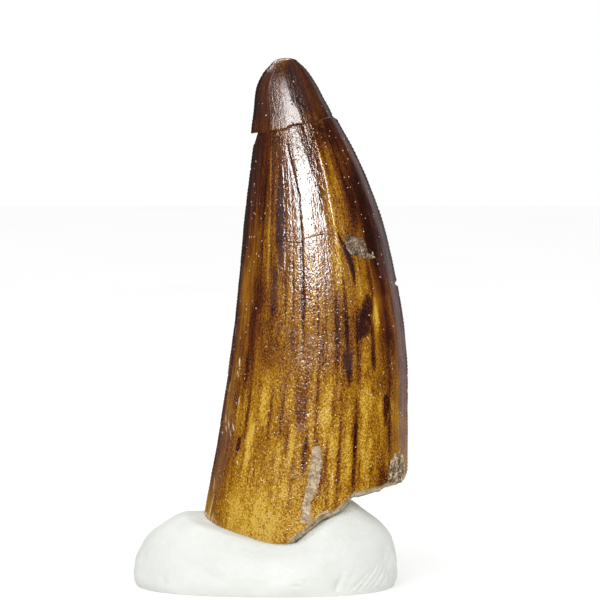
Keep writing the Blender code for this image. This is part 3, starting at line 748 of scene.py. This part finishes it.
def enamel_material(name, roughness, sparkle, ior):
    m, tree, shader = new_material(name)
    n = Nodes(tree)
    place = n.add("TexCoord").outputs["Object"]
    mm = n.scaled(place, 1000.0, 1000.0, 1000.0)
    along = n.vector(n.attribute("flow_x"), n.attribute("flow_y"), n.attribute("flow_z"))
    grain = n.attribute("grain")
    tone = n.attribute("tone")
    streak = n.noise(n.scaled(along, 1.0, 1.0, 0.22), 4.6, 3.0, 0.6)
    fine = n.noise(n.scaled(along, 1.0, 1.0, 0.45), 9.0, 2.0, 0.6)
    speckle = n.noise(n.scaled(along, 1.0, 1.0, 0.8), 8.5, 1.0, 0.5)
    tone = n.math("ADD", tone, n.math("MULTIPLY", n.math("SUBTRACT", streak, 0.5), 0.24))
    tone = n.math("ADD", tone, n.math("MULTIPLY", n.math("SUBTRACT", fine, 0.5), 0.20))
    speck = n.math("MULTIPLY", n.math("SUBTRACT", speckle, 0.5), n.math("ADD", 0.25, n.math("MULTIPLY", grain, 0.75)))
    tone = n.math("ADD", tone, n.math("MULTIPLY", speck, 1.15), clamp=True)
    colour = n.ramp(tone, ENAMEL_STOPS)
    # greyish mauve mix: the enamel's own dull tint, and down the right edge a painted sheen
    mauve_and_sheen_colour = n.mix(0.5, colour, srgb(96, 66, 58))
    colour = n.mix(n.attribute("mauve"), colour, mauve_and_sheen_colour)
    # tiny pale dots, partly grains caught in the wrinkles and partly painted glints standing in for sparkle, and pale
    # scratches
    cell = n.voronoi(mm, 3.9)
    dot_and_glint_cells = n.voronoi(mm, 2.4)
    pale = n.math("MULTIPLY", n.math("LESS_THAN", dot_and_glint_cells, n.math("ADD", 0.06, n.math("MULTIPLY", n.noise(mm, 2.9, 0.0), 0.13))),
                  n.math("GREATER_THAN", n.math("ADD", n.noise(mm, 0.9, 1.0), n.math("MULTIPLY", n.attribute("specks"), 0.22)), 0.60))
    colour = n.mix(n.math("MULTIPLY", pale, 0.85), colour, srgb(238, 218, 196))
    colour = n.mix(n.math("MULTIPLY", n.attribute("pale"), 0.85), colour, srgb(236, 220, 200))
    # broken rock and dentine
    rock_noise = n.noise(mm, 3.4, 4.0, 0.7)
    rock = n.ramp(rock_noise, [(0.30, srgb(100, 84, 62)), (0.48, srgb(166, 147, 116)),
                               (0.62, srgb(202, 186, 156)), (0.78, srgb(132, 106, 74))])
    broken = n.attribute("broken")
    colour = n.mix(broken, colour, rock)
    n.put(colour, shader.inputs["Base Color"])
    # polish varies in patches and is lost where broken
    polish = n.noise(n.scaled(along, 1.0, 1.0, 0.5), 1.1, 3.0, 0.6)
    rough = n.math("ADD", roughness, n.math("MULTIPLY", n.math("SUBTRACT", polish, 0.5), 0.07))
    rough = n.math("ADD", rough, n.math("MULTIPLY", broken, 0.65), clamp=True)
    n.put(rough, shader.inputs["Roughness"])
    shader.inputs["IOR"].default_value = ior
    # wrinkled, granular skin
    wrinkle = n.noise(n.scaled(along, 1.0, 1.0, 0.45), 5.6, 1.0, 0.5, 0.3)
    pebble = n.noise(mm, 6.4, 1.0, 0.5)
    height = n.math("ADD", n.math("MULTIPLY", wrinkle, 1.1), n.math("MULTIPLY", pebble, 0.8))
    height = n.math("MULTIPLY", height, n.math("ADD", 0.25, n.math("MULTIPLY", grain, sparkle)))
    # sparse tiny beads that each catch the light
    bead = n.math("SUBTRACT", 1.0, n.math("MULTIPLY", cell, 1.0 / 0.34), clamp=True)
    bead = n.math("MULTIPLY", n.math("MULTIPLY", bead, bead), n.math("GREATER_THAN", n.noise(mm, 1.7, 1.0), n.math("SUBTRACT", 0.57, n.math("MULTIPLY", grain, 0.12))))
    height = n.math("ADD", height, n.math("MULTIPLY", bead, 1.8))
    height = n.math("ADD", height, n.math("MULTIPLY", n.math("ADD", pale, n.attribute("pale")), 1.5))
    height = n.math("ADD", height, n.math("MULTIPLY", n.math("MULTIPLY", rock_noise, broken), 14.0))
    n.put(n.bump(height, 0.000016, 1.0), shader.inputs["Normal"])
    return m


def rock_material():
    m, tree, shader = new_material("matrix_rock")
    n = Nodes(tree)
    mm = n.scaled(n.add("TexCoord").outputs["Object"], 1000.0, 1000.0, 1000.0)
    mottled = n.noise(mm, 2.2, 3.0, 0.6)
    grains = n.noise(mm, 6.5, 2.0, 0.6)
    mixed = n.math("ADD", n.math("MULTIPLY", mottled, 0.55), n.math("MULTIPLY", grains, 0.55))
    # calmer rock varies less about its middle tone
    calm = n.math("SUBTRACT", 1.0, n.attribute("calm"))
    mixed = n.math("ADD", 0.565, n.math("MULTIPLY", n.math("SUBTRACT", mixed, 0.565), calm))
    mixed = n.math("SUBTRACT", mixed, n.math("MULTIPLY", n.attribute("tint"), 0.055))
    colour = n.ramp(mixed, [(0.42, srgb(58, 38, 24)), (0.50, srgb(122, 98, 72)),
                            (0.57, srgb(182, 158, 122)), (0.66, srgb(222, 208, 180))])
    n.put(colour, shader.inputs["Base Color"])
    shader.inputs["Roughness"].default_value = 0.55
    height = n.math("ADD", n.math("MULTIPLY", grains, 0.7), n.math("MULTIPLY", mottled, 0.6))
    n.put(n.bump(height, 0.00012, 1.0), shader.inputs["Normal"])
    return m


def putty_material():
    m, tree, shader = new_material("white_putty")
    n = Nodes(tree)
    mm = n.scaled(n.add("TexCoord").outputs["Object"], 1000.0, 1000.0, 1000.0)
    cloud = n.noise(mm, 0.35, 3.0, 0.5)
    colour = n.ramp(cloud, [(0.3, (0.66, 0.675, 0.64)), (0.55, (0.69, 0.71, 0.67)),
                            (0.8, (0.715, 0.73, 0.695))])
    n.put(colour, shader.inputs["Base Color"])
    rough = n.math("ADD", 0.52, n.math("MULTIPLY", n.noise(mm, 0.8, 2.0), 0.2))
    n.put(rough, shader.inputs["Roughness"])
    shader.inputs["IOR"].default_value = 1.42
    height = n.math("ADD", n.math("MULTIPLY", n.noise(mm, 2.2, 3.0, 0.6), 0.7),
                    n.math("MULTIPLY", n.noise(mm, 9.0, 2.0, 0.5), 0.3))
    n.put(n.bump(height, 0.00006, 1.0), shader.inputs["Normal"])
    return m


tip_enamel = enamel_material("enamel_tip", 0.20, 1.1, 1.5)
middle_enamel = enamel_material("enamel_middle", 0.09, 1.1, 1.6)
base_enamel = enamel_material("enamel_base", 0.10, 1.2, 1.6)
matrix_rock = rock_material()
white_putty = putty_material()


# ============================================================ crown pieces
def side_values(angle, z, **more):
    fx, fy, fz = flow(angle, z)
    return dict(tone=enamel_tone(angle, z), mauve=spread(angle, z, MAUVE_AND_SHEEN_FEATURES, 0.0, 61),
                grain=enamel_grain(angle, z), specks=spread(angle, z, SPECK_AND_GLINT_FEATURES, 0.15, 66),
                pale=enamel_pale(angle, z), flow_x=fx, flow_y=fy,
                flow_z=fz + np.zeros(np.shape(angle)), **more)


def bearings(front, back):
    """Column angles, closer together over the shown face."""
    return np.concatenate([180.0 * np.arange(front) / front, 180.0 + 180.0 * np.arange(back) / back])


def rim_wear(z, end, reach, amount, angle, seed):
    """Rounds and chips the enamel where it runs out at a break."""
    fx, fy, _ = flow(angle, z)
    ragged = 1.0 + 0.9 * noise(fx / 0.35, fy / 0.35, end * 0.0, seed) + 0.7 * noise(fx / 1.3, fy / 1.3, 0.0, seed + 1)
    ragged = np.clip(ragged, 0.15, 2.6)
    away = np.abs(z - end) / (reach * ragged)
    return amount * ragged * np.clip(1.0 - away, 0.0, 1.0) ** 2


def make_tip():
    piece = Piece()
    columns, rows = 288, 96
    angle = np.arange(columns) * 360.0 / columns
    half = 0.018
    bottom = meet(tip_edges, angle, lambda x, y: upper_break(x, y) + half, 38.5)
    part = 1.0 - np.arange(rows) / rows
    a, p = np.meshgrid(angle, part)
    low = np.broadcast_to(bottom, a.shape)
    z = TIP_APEX - (TIP_APEX - low) * p ** 1.7
    x, y = plain_side(tip_edges, z, a)
    height = relief(a, z, tip=True) * step(0.0, 1.4, TIP_APEX - z)
    open_part = 0.25 + 0.9 * np.exp(-(around(a, 76.0) / 21.0) ** 2) + 0.5 * (np.abs(around(a, 90.0)) > 90)
    height -= rim_wear(z, low, 0.10, 0.045, a, 71) * open_part
    x, y, z2 = raised(x, y, z, height)
    z2[0] = z[0]
    grid = piece.add(x, y, z2, **side_values(a, z))
    piece.quads(grid)
    apex = piece.add(np.array([TIP_LEFT[0][1]]), np.array([float(smooth(LEAN_BACK, TIP_APEX))]),
                     np.array([TIP_APEX]), **side_values(np.array([90.0]), np.array([TIP_APEX])))[0]
    piece.fan(grid[-1], apex)
    close_break(piece, grid[0], (x[0], y[0], z2[0]),
                lambda x, y: upper_break(x, y) + half, 10, True, 0.02, 41, broken=1.0)
    obj = piece.make("tip_fragment", tip_enamel, 50)
    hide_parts("tooth_tip")
    return obj


def chip(angle):
    """The missing upper left corner of the middle fragment, and its worn right one."""
    left = 1.1 * np.clip(1.0 - np.abs(around(angle, 2.0)) / 17.0, 0.0, 1.0) ** 0.8
    right = 0.30 * np.clip(1.0 - np.abs(around(angle, 176.0)) / 14.0, 0.0, 1.0)
    return left + right


def make_middle():
    piece = Piece()
    rows = 136
    angle = bearings(300, 140)
    half = 0.018
    low = meet(body_edges, angle, lambda x, y: lower_break(x, y) + 0.008, 29.5)
    high = meet(body_edges, angle, lambda x, y: upper_break(x, y) - half, 38.5) - chip(angle)
    s = np.linspace(0.0, 1.0, rows + 1)
    a, t = np.meshgrid(angle, s)
    z = low + (high - low) * t
    x, y = plain_side(body_edges, z, a)
    height = relief(a, z)
    open_part = 0.25 + 0.9 * np.exp(-(around(a, 76.0) / 21.0) ** 2) + 0.5 * (np.abs(around(a, 90.0)) > 90)
    height -= rim_wear(z, np.broadcast_to(high, z.shape), 0.10, 0.045, a, 73) * open_part
    height -= rim_wear(z, np.broadcast_to(low, z.shape), 0.05, 0.012, a, 75)
    x, y, z2 = raised(x, y, z, height)
    z2[0], z2[-1] = z[0], z[-1]
    grid = piece.add(x, y, z2, **side_values(a, z))
    piece.quads(grid)
    close_break(piece, grid[0], (x[0], y[0], z2[0]),
                lambda x, y: lower_break(x, y) + 0.008, 8, True, 0.02, 42, broken=1.0)
    close_break(piece, grid[-1], (x[-1], y[-1], z2[-1]),
                lambda x, y: upper_break(x, y) - half, 14, False, 0.02, 43, broken=1.0)
    obj = piece.make("middle_fragment", middle_enamel, 50)
    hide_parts("tooth_middle")
    return obj


EDGE_STEPS = [(138.0, 3.6, 0.22), (147.5, 3.0, -0.14), (128.0, 3.0, -0.06), (121.5, 2.0, 0.05),
              (160.0, 3.5, 0.12), (172.0, 4.0, -0.20), (105.0, 2.0, 0.08), (99.0, 2.5, -0.08),
              (190.0, 6.0, -0.15), (214.0, 5.0, 0.18), (236.0, 4.0, -0.12)]


def make_base():
    piece = Piece()
    rows = 206
    angle = bearings(280, 130)
    low = meet(body_edges, angle, base_break, 6.0)
    for at, wide, drop in EDGE_STEPS:
        low = low - drop * np.exp(-(around(angle, at) / wide) ** 2)
    high = meet(body_edges, angle, lambda x, y: lower_break(x, y) - 0.008, 29.5)
    s = np.linspace(0.0, 1.0, rows + 1)
    a, t = np.meshgrid(angle, s)
    z = low + (high - low) * t
    x, y = plain_side(body_edges, z, a)
    height = relief(a, z)
    height -= rim_wear(z, np.broadcast_to(high, z.shape), 0.05, 0.012, a, 77)
    edge = rim_wear(z, np.broadcast_to(low, z.shape), 0.28, 0.10, a, 79)
    # the skin has come away further up beside the vein
    bare = np.exp(-(around(a, 96.0) / 8.0) ** 2) + 0.35 * np.exp(-(around(a, 110.0) / 8.0) ** 2)
    edge = edge + rim_wear(z, np.broadcast_to(low, z.shape), 0.50, 0.10, a, 80) * bare
    height -= edge
    # chip in the right edge
    notch = np.exp(-((z - 25.55) / 0.16) ** 2) * np.exp(-(around(a, 178.0) / 7.0) ** 2)
    height -= 0.22 * notch
    x, y, z2 = raised(x, y, z, height)
    z2[0], z2[-1] = z[0], z[-1]
    broken = np.clip(edge / 0.07, 0.0, 1.0) * 0.8
    grid = piece.add(x, y, z2, **side_values(a, z, broken=broken))
    piece.quads(grid)
    # the broken underside draws in below the enamel, then runs across
    before, rim = grid[0], (x[0], y[0], z2[0])
    rings = 5
    for k in range(1, rings + 1):
        part = k / rings
        inset = BASE_BEVEL * part
        drop = BASE_BEVEL * 0.9 * (1.0 - (1.0 - part) ** 1.6)
        bx, by = plain_side(body_edges, low, angle, inset)
        fx, fy, _ = flow(angle, low)
        rough = 0.10 * fractal(fx / 0.5, fy / 0.5, part * 1.7, 81, 3) * math.sin(math.pi * (0.15 + 0.75 * part))
        bz = low - drop + rough
        ring = piece.add(bx, by, bz, broken=1.0)
        piece.quads(np.stack([ring, before]))
        before, rim = ring, (bx, by, bz)
    close_break(piece, before, rim, lambda x, y: base_break(x, y) - BASE_BEVEL * 0.9,
                16, True, 0.09, 44, broken=1.0)
    close_break(piece, grid[-1], (x[-1], y[-1], z2[-1]),
                lambda x, y: lower_break(x, y) - 0.008, 8, False, 0.02, 45, broken=1.0)
    obj = piece.make("base_fragment", base_enamel, 50)
    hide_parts("tooth_base")
    return obj


def make_inlay(name, node, rows_of, proud, seed, tint=0.0, calm=0.0, across=28, up=40, ragged=0.16,
               grow=0.0, to_break=False):
    """Gritty rock let into the crown, with a ragged outline."""
    piece = Piece()
    low, high = rows_of[0][0] - grow, rows_of[-1][0] + grow
    zs = [r[0] for r in rows_of]
    u, v = np.meshgrid(np.linspace(-1.0, 1.0, across + 1), np.linspace(0.0, 1.0, up + 1))
    if to_break:
        ex, ey = plain_side(body_edges, high, rows_of[-1][1] + rows_of[-1][2] * u[0])
        high = lower_break(ex, ey) - 0.02
    z = low + (high - low) * v
    left, right = body_edges(z)
    per_degree = (right - left) / 2 * np.pi / 180
    centre = np.interp(z, zs, [r[1] for r in rows_of])
    half = np.interp(z, zs, [r[2] for r in rows_of]) + (grow + ragged * 0.5) / per_degree
    angle = centre + half * u
    fx, fy, fz = flow(angle, z)
    # distance in from the outline, in mm, made uneven
    side = half * per_degree * (1.0 - np.abs(u))
    ends = (v if to_break else np.minimum(v, 1.0 - v)) * (high - low)
    inside = np.minimum(side, ends) + ragged * fractal(fx / 0.5, fy / 0.5, fz / 0.5, seed, 3) - ragged * 0.5
    grit = 0.035 * fractal(fx / 0.30, fy / 0.30, fz / 0.30, seed + 1, 3)
    border = np.minimum(1.0 - np.abs(u), (v if to_break else np.minimum(v, 1.0 - v)) * 2.0) <= 1e-9
    top = relief(angle, z) - 0.06 + (0.06 + proud) * step(-0.05, 0.10, inside) + grit * step(0.0, 0.12, inside)
    top = np.where(border, -0.12, top)
    shells = []
    for depth in (top, np.full(top.shape, -0.33)):
        x, y = plain_side(body_edges, z, angle, -depth)
        shells.append(piece.add(x, y, z, tint=tint, calm=calm))
    front, back = shells
    piece.quads(front, wrap=False)
    piece.quads(back[:, ::-1], wrap=False)
    edge_f = np.concatenate([front[0, :-1], front[:-1, -1], front[-1, :0:-1], front[:0:-1, 0]])
    edge_b = np.concatenate([back[0, :-1], back[:-1, -1], back[-1, :0:-1], back[:0:-1, 0]])
    piece.quads(np.stack([edge_b, edge_f]))
    obj = piece.make(name, matrix_rock, 60)
    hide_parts(node)
    return obj


# ==================================================================== putty
def contact_radius(bearing):
    turn = np.radians(bearing)
    forward = np.cos(turn) > 0.05
    flat = CONTACT_RADIUS / np.maximum(np.cos(turn), 0.05)
    across = np.where(np.cos(turn) > 0, 6.9, CONTACT_RADIUS)
    return np.where(forward, (flat ** -8 + across ** -8) ** (-1 / 8), across)


def outer_radius(bearing):
    turn = np.radians(bearing)
    half = np.where(np.cos(turn) > 0, PUTTY_RIGHT, PUTTY_LEFT)
    n = PUTTY_SQUARENESS
    return (np.abs(np.cos(turn) / half) ** n + np.abs(np.sin(turn) / PUTTY_HALF_DEPTH) ** n) ** (-1 / n)


def tooth_radius(bearing, gap):
    """How far the crown's side is from the putty's centre line on this bearing."""
    turn = np.radians(bearing)
    z = smooth(CONTACT_HEIGHT, bearing)
    left, right = body_edges(z)
    a, b = (right - left) / 2 + gap, smooth(DEPTH_RATIO, z) * (right - left) / 2 + gap
    cx = (left + right) / 2 - PUTTY_CENTRE_X
    dx, dy = np.cos(turn), np.sin(turn)
    qa = (dx / a) ** 2 + (dy / b) ** 2
    qb = -2 * dx * cx / a ** 2
    qc = (cx / a) ** 2 - 1
    return (-qb + np.sqrt(qb * qb - 4 * qa * qc)) / (2 * qa)


PUTTY_FOLDS = [  # (bearing, width in degrees, depth in mm, lowest and highest part of the wall)
    (336.0, 4.0, 0.22, 0.08, 0.50, -30.0), (343.0, 2.2, 0.10, 0.05, 0.42, -34.0),
    (312.0, 1.3, 0.10, 0.0, 0.30, 48.0), (316.5, 1.1, 0.12, 0.0, 0.34, 48.0),
    (320.5, 1.2, 0.09, 0.0, 0.36, 46.0), (325.5, 1.3, 0.12, 0.02, 0.38, 44.0),
    (331.0, 1.2, 0.07, 0.0, 0.30, 40.0), (300.5, 1.6, 0.12, 0.02, 0.30, 6.0),
    (305.0, 2.2, 0.06, 0.0, 0.26, 20.0), (232.0, 9.0, 0.12, 0.3, 1.0, 10.0),
    (214.0, 1.4, 0.07, 0.02, 0.36, 10.0), (210.5, 1.2, 0.05, 0.0, 0.28, 14.0),
    (221.0, 1.6, 0.05, 0.0, 0.24, 8.0), (262.0, 8.0, 0.08, 0.0, 0.7, 12.0),
    (152.0, 8.0, 0.20, 0.0, 1.0, 8.0), (146.0, 1.8, 0.10, 0.1, 0.6, 20.0),
    (75.0, 7.0, 0.28, 0.0, 0.8, -16.0), (82.0, 1.6, 0.12, 0.1, 0.6, -20.0),
    (87.0, 1.4, 0.10, 0.0, 0.5, -24.0), (108.0, 6.0, 0.20, 0.2, 1.0, 14.0),
    (20.0, 7.0, 0.20, 0.0, 0.9, 12.0), (27.0, 1.6, 0.10, 0.1, 0.5, 26.0)]
PUTTY_DENTS = [  # (bearing, part of the way up the wall, width in degrees, height, depth in mm)
    (215.0, 0.17, 2.0, 0.05, 0.10), (279.0, 0.22, 2.4, 0.03, 0.09), (300.0, 0.17, 1.6, 0.08, 0.12),
    (283.5, 0.30, 1.4, 0.03, 0.05), (246.0, 0.42, 3.0, 0.06, 0.05), (226.0, 0.62, 4.0, 0.08, 0.08),
    (196.0, 0.45, 3.0, 0.10, 0.08), (40.0, 0.5, 5.0, 0.12, 0.12), (125.0, 0.4, 4.0, 0.10, 0.12),
    (96.0, 0.7, 3.0, 0.07, 0.10)]


def make_putty():
    piece = Piece()
    columns = 560
    bearing = np.concatenate([180.0 * np.arange(230) / 230, 180.0 + 180.0 * np.arange(330) / 330])
    turn = np.radians(bearing)
    near = np.minimum(tooth_radius(bearing, 0.03), contact_radius(bearing) + 0.0 * bearing)
    d_ring = contact_radius(bearing) < tooth_radius(bearing, 0.03) - 0.15
    far = outer_radius(bearing)
    outs = np.array([p[0] for p in PUTTY_PROFILE])
    ups = np.array([p[1] for p in PUTTY_PROFILE])
    length = np.concatenate([[0], np.cumsum(np.hypot(np.diff(outs) * 4.5, np.diff(ups) * 6.0))])
    rows = 118
    at = np.linspace(length[-1], 0.0, rows)
    out = smooth(list(zip(length, outs)), at)
    up = smooth(list(zip(length, ups)), at)
    up_right = smooth(list(zip(length, [p[2] for p in PUTTY_PROFILE])), at)
    b, o = np.meshgrid(bearing, out)
    u = np.broadcast_to(up[:, None], b.shape)
    u = u + (up_right - up)[:, None] * np.exp(-(around(b, 0.0) / RIGHT_SHOULDER) ** 2)
    top = smooth(CONTACT_HEIGHT, b)
    radius = near + (far - near) * o
    x = PUTTY_CENTRE_X + radius * np.cos(np.radians(b))
    y = radius * np.sin(np.radians(b))
    z = TABLE + (top - TABLE) * u
    fold = np.zeros(x.shape)
    for at_b, wide, deep, lo, hi, slant in PUTTY_FOLDS:
        middle = (lo + hi) / 2
        bend = slant * (u - middle) + 0.5 * wide * np.sin(u * 9.0 + at_b)
        away = around(b, at_b + bend) / wide
        reach = step(lo - 0.06, lo + 0.10, u) * step(hi + 0.06, hi - 0.10, u)
        # a crease with the putty pushed up beside it
        fold += deep * reach * (0.45 * np.exp(-((away - 1.9) / 1.1) ** 2) - np.exp(-away ** 2))
    for at_b, at_u, wide, high, deep in PUTTY_DENTS:
        fold -= deep * np.exp(-(around(b, at_b) / wide) ** 2 - ((u - at_u) / high) ** 2)
    lumps = 0.10 * fractal(x / 3.4, y / 3.4, z / 2.8, 91, 2) + 0.032 * fractal(x / 0.9, y / 0.9, z / 0.8, 93, 2)
    lumps = lumps + 0.008 * fractal(x / 0.3, y / 0.3, z / 0.3, 95, 2)
    height = (fold + lumps) * step(0.0, 0.10, u) * step(0.0, 0.10, o)
    p = np.stack([x, y, z], -1)
    du = np.roll(p, -1, 1) - np.roll(p, 1, 1)
    dv = np.gradient(p, axis=0)
    n = np.cross(du, dv)
    n /= np.maximum(np.linalg.norm(n, axis=-1, keepdims=True), 1e-12)
    p = p + n * height[..., None]
    p[..., 2] = np.maximum(p[..., 2], TABLE)
    # it lies against the broken underside wherever the crown stands over it
    left, right = body_edges(p[..., 2] + 0.3)
    a = (right - left) / 2
    inside = (((p[..., 0] - (left + right) / 2) / a) ** 2
              + (p[..., 1] / (smooth(DEPTH_RATIO, p[..., 2]) * a)) ** 2) < 1.0
    floor = base_break(p[..., 0], p[..., 1]) - BASE_BEVEL * 0.9 - 0.03
    p[..., 2] = np.where(inside & (np.arange(rows)[:, None] > rows // 2),
                         np.minimum(p[..., 2], np.maximum(floor, TABLE + 1.0)), p[..., 2])
    grid = piece.add(p[..., 0], p[..., 1], p[..., 2])
    piece.quads(grid)
    # the pocket wall down to the broken underside, then across under it
    rx, ry, rz = p[-1, :, 0], p[-1, :, 1], p[-1, :, 2]
    under = lambda x, y: base_break(x, y) - BASE_BEVEL * 0.9 - 0.05
    floor_z = np.minimum(under(rx, ry), rz - 0.03)
    before = grid[-1]
    for k in range(1, 7):
        part = k / 6
        ring = piece.add(rx, ry, rz + (floor_z - rz) * part)
        piece.quads(np.stack([before, ring]))
        before = ring
    for k in range(1, 20):
        part = 1.0 - k / 20
        wx = PUTTY_CENTRE_X + part * (rx - PUTTY_CENTRE_X)
        wy = part * ry
        wz = under(wx, wy) + (floor_z - under(rx, ry)) * part ** 8
        ring = piece.add(wx, wy, wz)
        piece.quads(np.stack([before, ring]))
        before = ring
    centre = piece.add(np.array([PUTTY_CENTRE_X]), np.array([0.0]),
                       np.array([float(under(PUTTY_CENTRE_X, 0.0))]))[0]
    piece.fan(before, centre)
    # flat underside
    before = grid[0]
    fx, fy = p[0, :, 0], p[0, :, 1]
    for part in (0.97, 0.9, 0.75, 0.55, 0.3):
        ring = piece.add(PUTTY_CENTRE_X + part * (fx - PUTTY_CENTRE_X), part * fy, np.full(columns, TABLE))
        piece.quads(np.stack([ring, before]))
        before = ring
    foot = piece.add(np.array([PUTTY_CENTRE_X]), np.array([0.0]), np.array([TABLE]))[0]
    piece.fan(before, foot, flip=True)
    obj = piece.make("putty_lump", white_putty, 60)
    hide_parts("putty_stand")
    return obj


pieces = [make_tip(), make_middle(), make_base(),
          make_inlay("patch_rock", "matrix_patch", PATCH_ROWS, 0.04, 101, 1.3, 0.2, 60, 52, 0.16,
                     0.08, to_break=True),
          make_inlay("vein_rock", "matrix_vein", VEIN_ROWS, 0.05, 111, 0.1, 0.55, 34, 160, 0.16, 0.10),
          make_inlay("corner_rock", "matrix_corner", CORNER_ROWS, 0.08, 121, 0.6, 0.1, 60, 64, 0.26, 0.12),
          make_putty()]
for obj in pieces:
    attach(obj, "root")


# ============================================================ floor and light
def add_floor():
    """A pale level floor."""
    piece = Piece()
    x, y = np.meshgrid(np.linspace(-900.0, 900.0, 7), np.linspace(-900.0, 900.0, 7))
    index = piece.add(x, y, np.zeros(x.shape) + TABLE - 0.01)
    piece.quads(index, wrap=False)
    m, tree, shader = new_material("pale_floor")
    n = Nodes(tree)
    mm = n.scaled(n.add("TexCoord").outputs["Object"], 1000.0, 1000.0, 1000.0)
    tint = n.ramp(n.noise(mm, 0.02, 2.0), [(0.3, (0.93, 0.93, 0.93)), (0.7, (0.95, 0.95, 0.95))])
    n.put(tint, shader.inputs["Base Color"])
    shader.inputs["Roughness"].default_value = 0.9
    shader.inputs["Specular IOR Level"].default_value = 0.1
    shader.inputs["Emission Color"].default_value = (1.0, 1.0, 1.0, 1.0)
    shader.inputs["Emission Strength"].default_value = 0.06
    obj = piece.make("pale_floor", m)
    obj.visible_glossy = False
    return obj


add_floor()


def add_area(name, azimuth, elevation, distance, wide, high, radiance, target=(2.5, 0.0, 25.5), roll=0.0,
             colour=(1.0, 1.0, 1.0), gloss=True, matt=True):
    """A soft rectangular light; azimuth 0 is the viewer's side, positive to the right."""
    light = bpy.data.lights.new(name, "AREA")
    light.shape = "RECTANGLE"
    light.size, light.size_y = wide * MM, high * MM
    light.energy = radiance * math.pi * wide * high * MM * MM
    light.color = colour
    obj = bpy.data.objects.new(name, light)
    bpy.context.scene.collection.objects.link(obj)
    az, el = math.radians(azimuth), math.radians(elevation)
    aim = Vector(target) * MM
    away = Vector((math.sin(az) * math.cos(el), -math.cos(az) * math.cos(el), math.sin(el)))
    obj.location = aim + away * distance * MM
    turn = (-away).to_track_quat("-Z", "Y")
    obj.rotation_mode = "QUATERNION"
    obj.rotation_quaternion = turn @ Quaternion((0.0, 0.0, 1.0), math.radians(roll))
    obj.visible_glossy = gloss
    obj.visible_diffuse = matt
    obj.visible_camera = False
    return obj


# The soft box that is mirrored down the front of the crown, its soft matt light,
# and a dimmer one behind.
add_area("front_box_gloss", -7.0, 24.0, 420.0, 200.0, 136.0, 22.0, matt=False)
add_area("front_box_top", -20.0, 43.0, 420.0, 250.0, 147.0, 9.0, matt=False)
add_area("front_box_matt", -13.0, 35.0, 420.0, 400.0, 300.0, 1.6, gloss=False)
add_area("rear_box_gloss", 205.0, 48.0, 420.0, 260.0, 200.0, 9.0, matt=False)

world = bpy.data.worlds.new("studio")
bpy.context.scene.world = world
world.use_nodes = True
wn = Nodes(world.node_tree)
dome = world.node_tree.nodes["Background"]
out = world.node_tree.nodes["World Output"]
dome.inputs["Color"].default_value = (1.0, 1.0, 1.0, 1.0)
dome.inputs["Strength"].default_value = 1.0
# what polished surfaces mirror: a dim room, paler behind and to the right
direction = wn.add("TexCoord").outputs["Generated"]


def toward(x, y, z):
    node = wn.add("VectorMath", operation="DOT_PRODUCT")
    wn.put(direction, node.inputs[0])
    node.inputs[1].default_value = Vector((x, y, z)).normalized()
    return node.outputs["Value"]


def glow(value, lo, hi, amount):
    node = wn.add("MapRange", interpolation_type="SMOOTHSTEP")
    wn.put(value, node.inputs["Value"])
    node.inputs["From Min"].default_value = lo
    node.inputs["From Max"].default_value = hi
    node.inputs["To Min"].default_value = 0.0
    node.inputs["To Max"].default_value = amount
    return node.outputs["Result"]


# a pale band under the front light, brightest straight below it
low_band = glow(toward(0.0, 0.0, 1.0), 0.05, 0.18, 1.0)
near_band = glow(toward(math.sin(math.radians(-7.0)), -math.cos(math.radians(-7.0)), 0.0), 0.90, 0.97, 2.3)
wide_band = glow(toward(math.sin(math.radians(-7.0)), -math.cos(math.radians(-7.0)), 0.0), 0.25, 0.9, 0.42)
band = wn.math("MULTIPLY", low_band, wn.math("ADD", near_band, wide_band))
band = wn.math("MULTIPLY", band, glow(toward(0.0, 0.0, -1.0), -0.50, -0.36, 1.0))
room = wn.math("ADD", 0.035, glow(toward(0.62, 0.78, 0.05), 0.82, 0.97, 0.42))
room = wn.math("ADD", room, band)
room = wn.math("ADD", room, glow(toward(-0.8, 0.6, 0.0), 0.5, 1.0, 0.03))
room = wn.math("ADD", room, glow(toward(0.0, 0.1, 1.0), 0.5, 1.0, 0.15))
mirrored = wn.add("Background")
wn.put(room, mirrored.inputs["Strength"])
mirrored.inputs["Color"].default_value = (1.0, 0.97, 0.98, 1.0)
seen = wn.add("Background")
seen.inputs["Color"].default_value = (1.0, 1.0, 1.0, 1.0)
seen.inputs["Strength"].default_value = 1.0
path = wn.add("LightPath")
first = wn.add("MixShader")
wn.put(path.outputs["Is Glossy Ray"], first.inputs[0])
wn.put(dome.outputs[0], first.inputs[1])
wn.put(mirrored.outputs[0], first.inputs[2])
second = wn.add("MixShader")
wn.put(path.outputs["Is Camera Ray"], second.inputs[0])
wn.put(first.outputs[0], second.inputs[1])
wn.put(seen.outputs[0], second.inputs[2])
wn.put(second.outputs[0], out.inputs["Surface"])
world.cycles.sampling_method = "NONE"

# ==================================================================== camera
ELEVATION = math.radians(3.5)
DISTANCE = 300.0
camera_data = bpy.data.cameras.new("camera")
camera = bpy.data.objects.new("camera", camera_data)
bpy.context.scene.collection.objects.link(camera)
aim = Vector((2.5, 0.0, 290.0 / 12.0 - TABLE))
camera.location = (aim + DISTANCE * Vector((0.0, -math.cos(ELEVATION), math.sin(ELEVATION)))) * MM
camera.rotation_euler = (math.pi / 2 - ELEVATION, 0.0, 0.0)
camera_data.sensor_width = 36.0
camera_data.lens = 36.0 * DISTANCE / 50.0
camera_data.clip_start, camera_data.clip_end = 0.01, 10.0
bpy.context.scene.camera = camera

bpy.context.scene.view_settings.view_transform = "Standard"
bpy.context.scene.view_settings.look = "None"
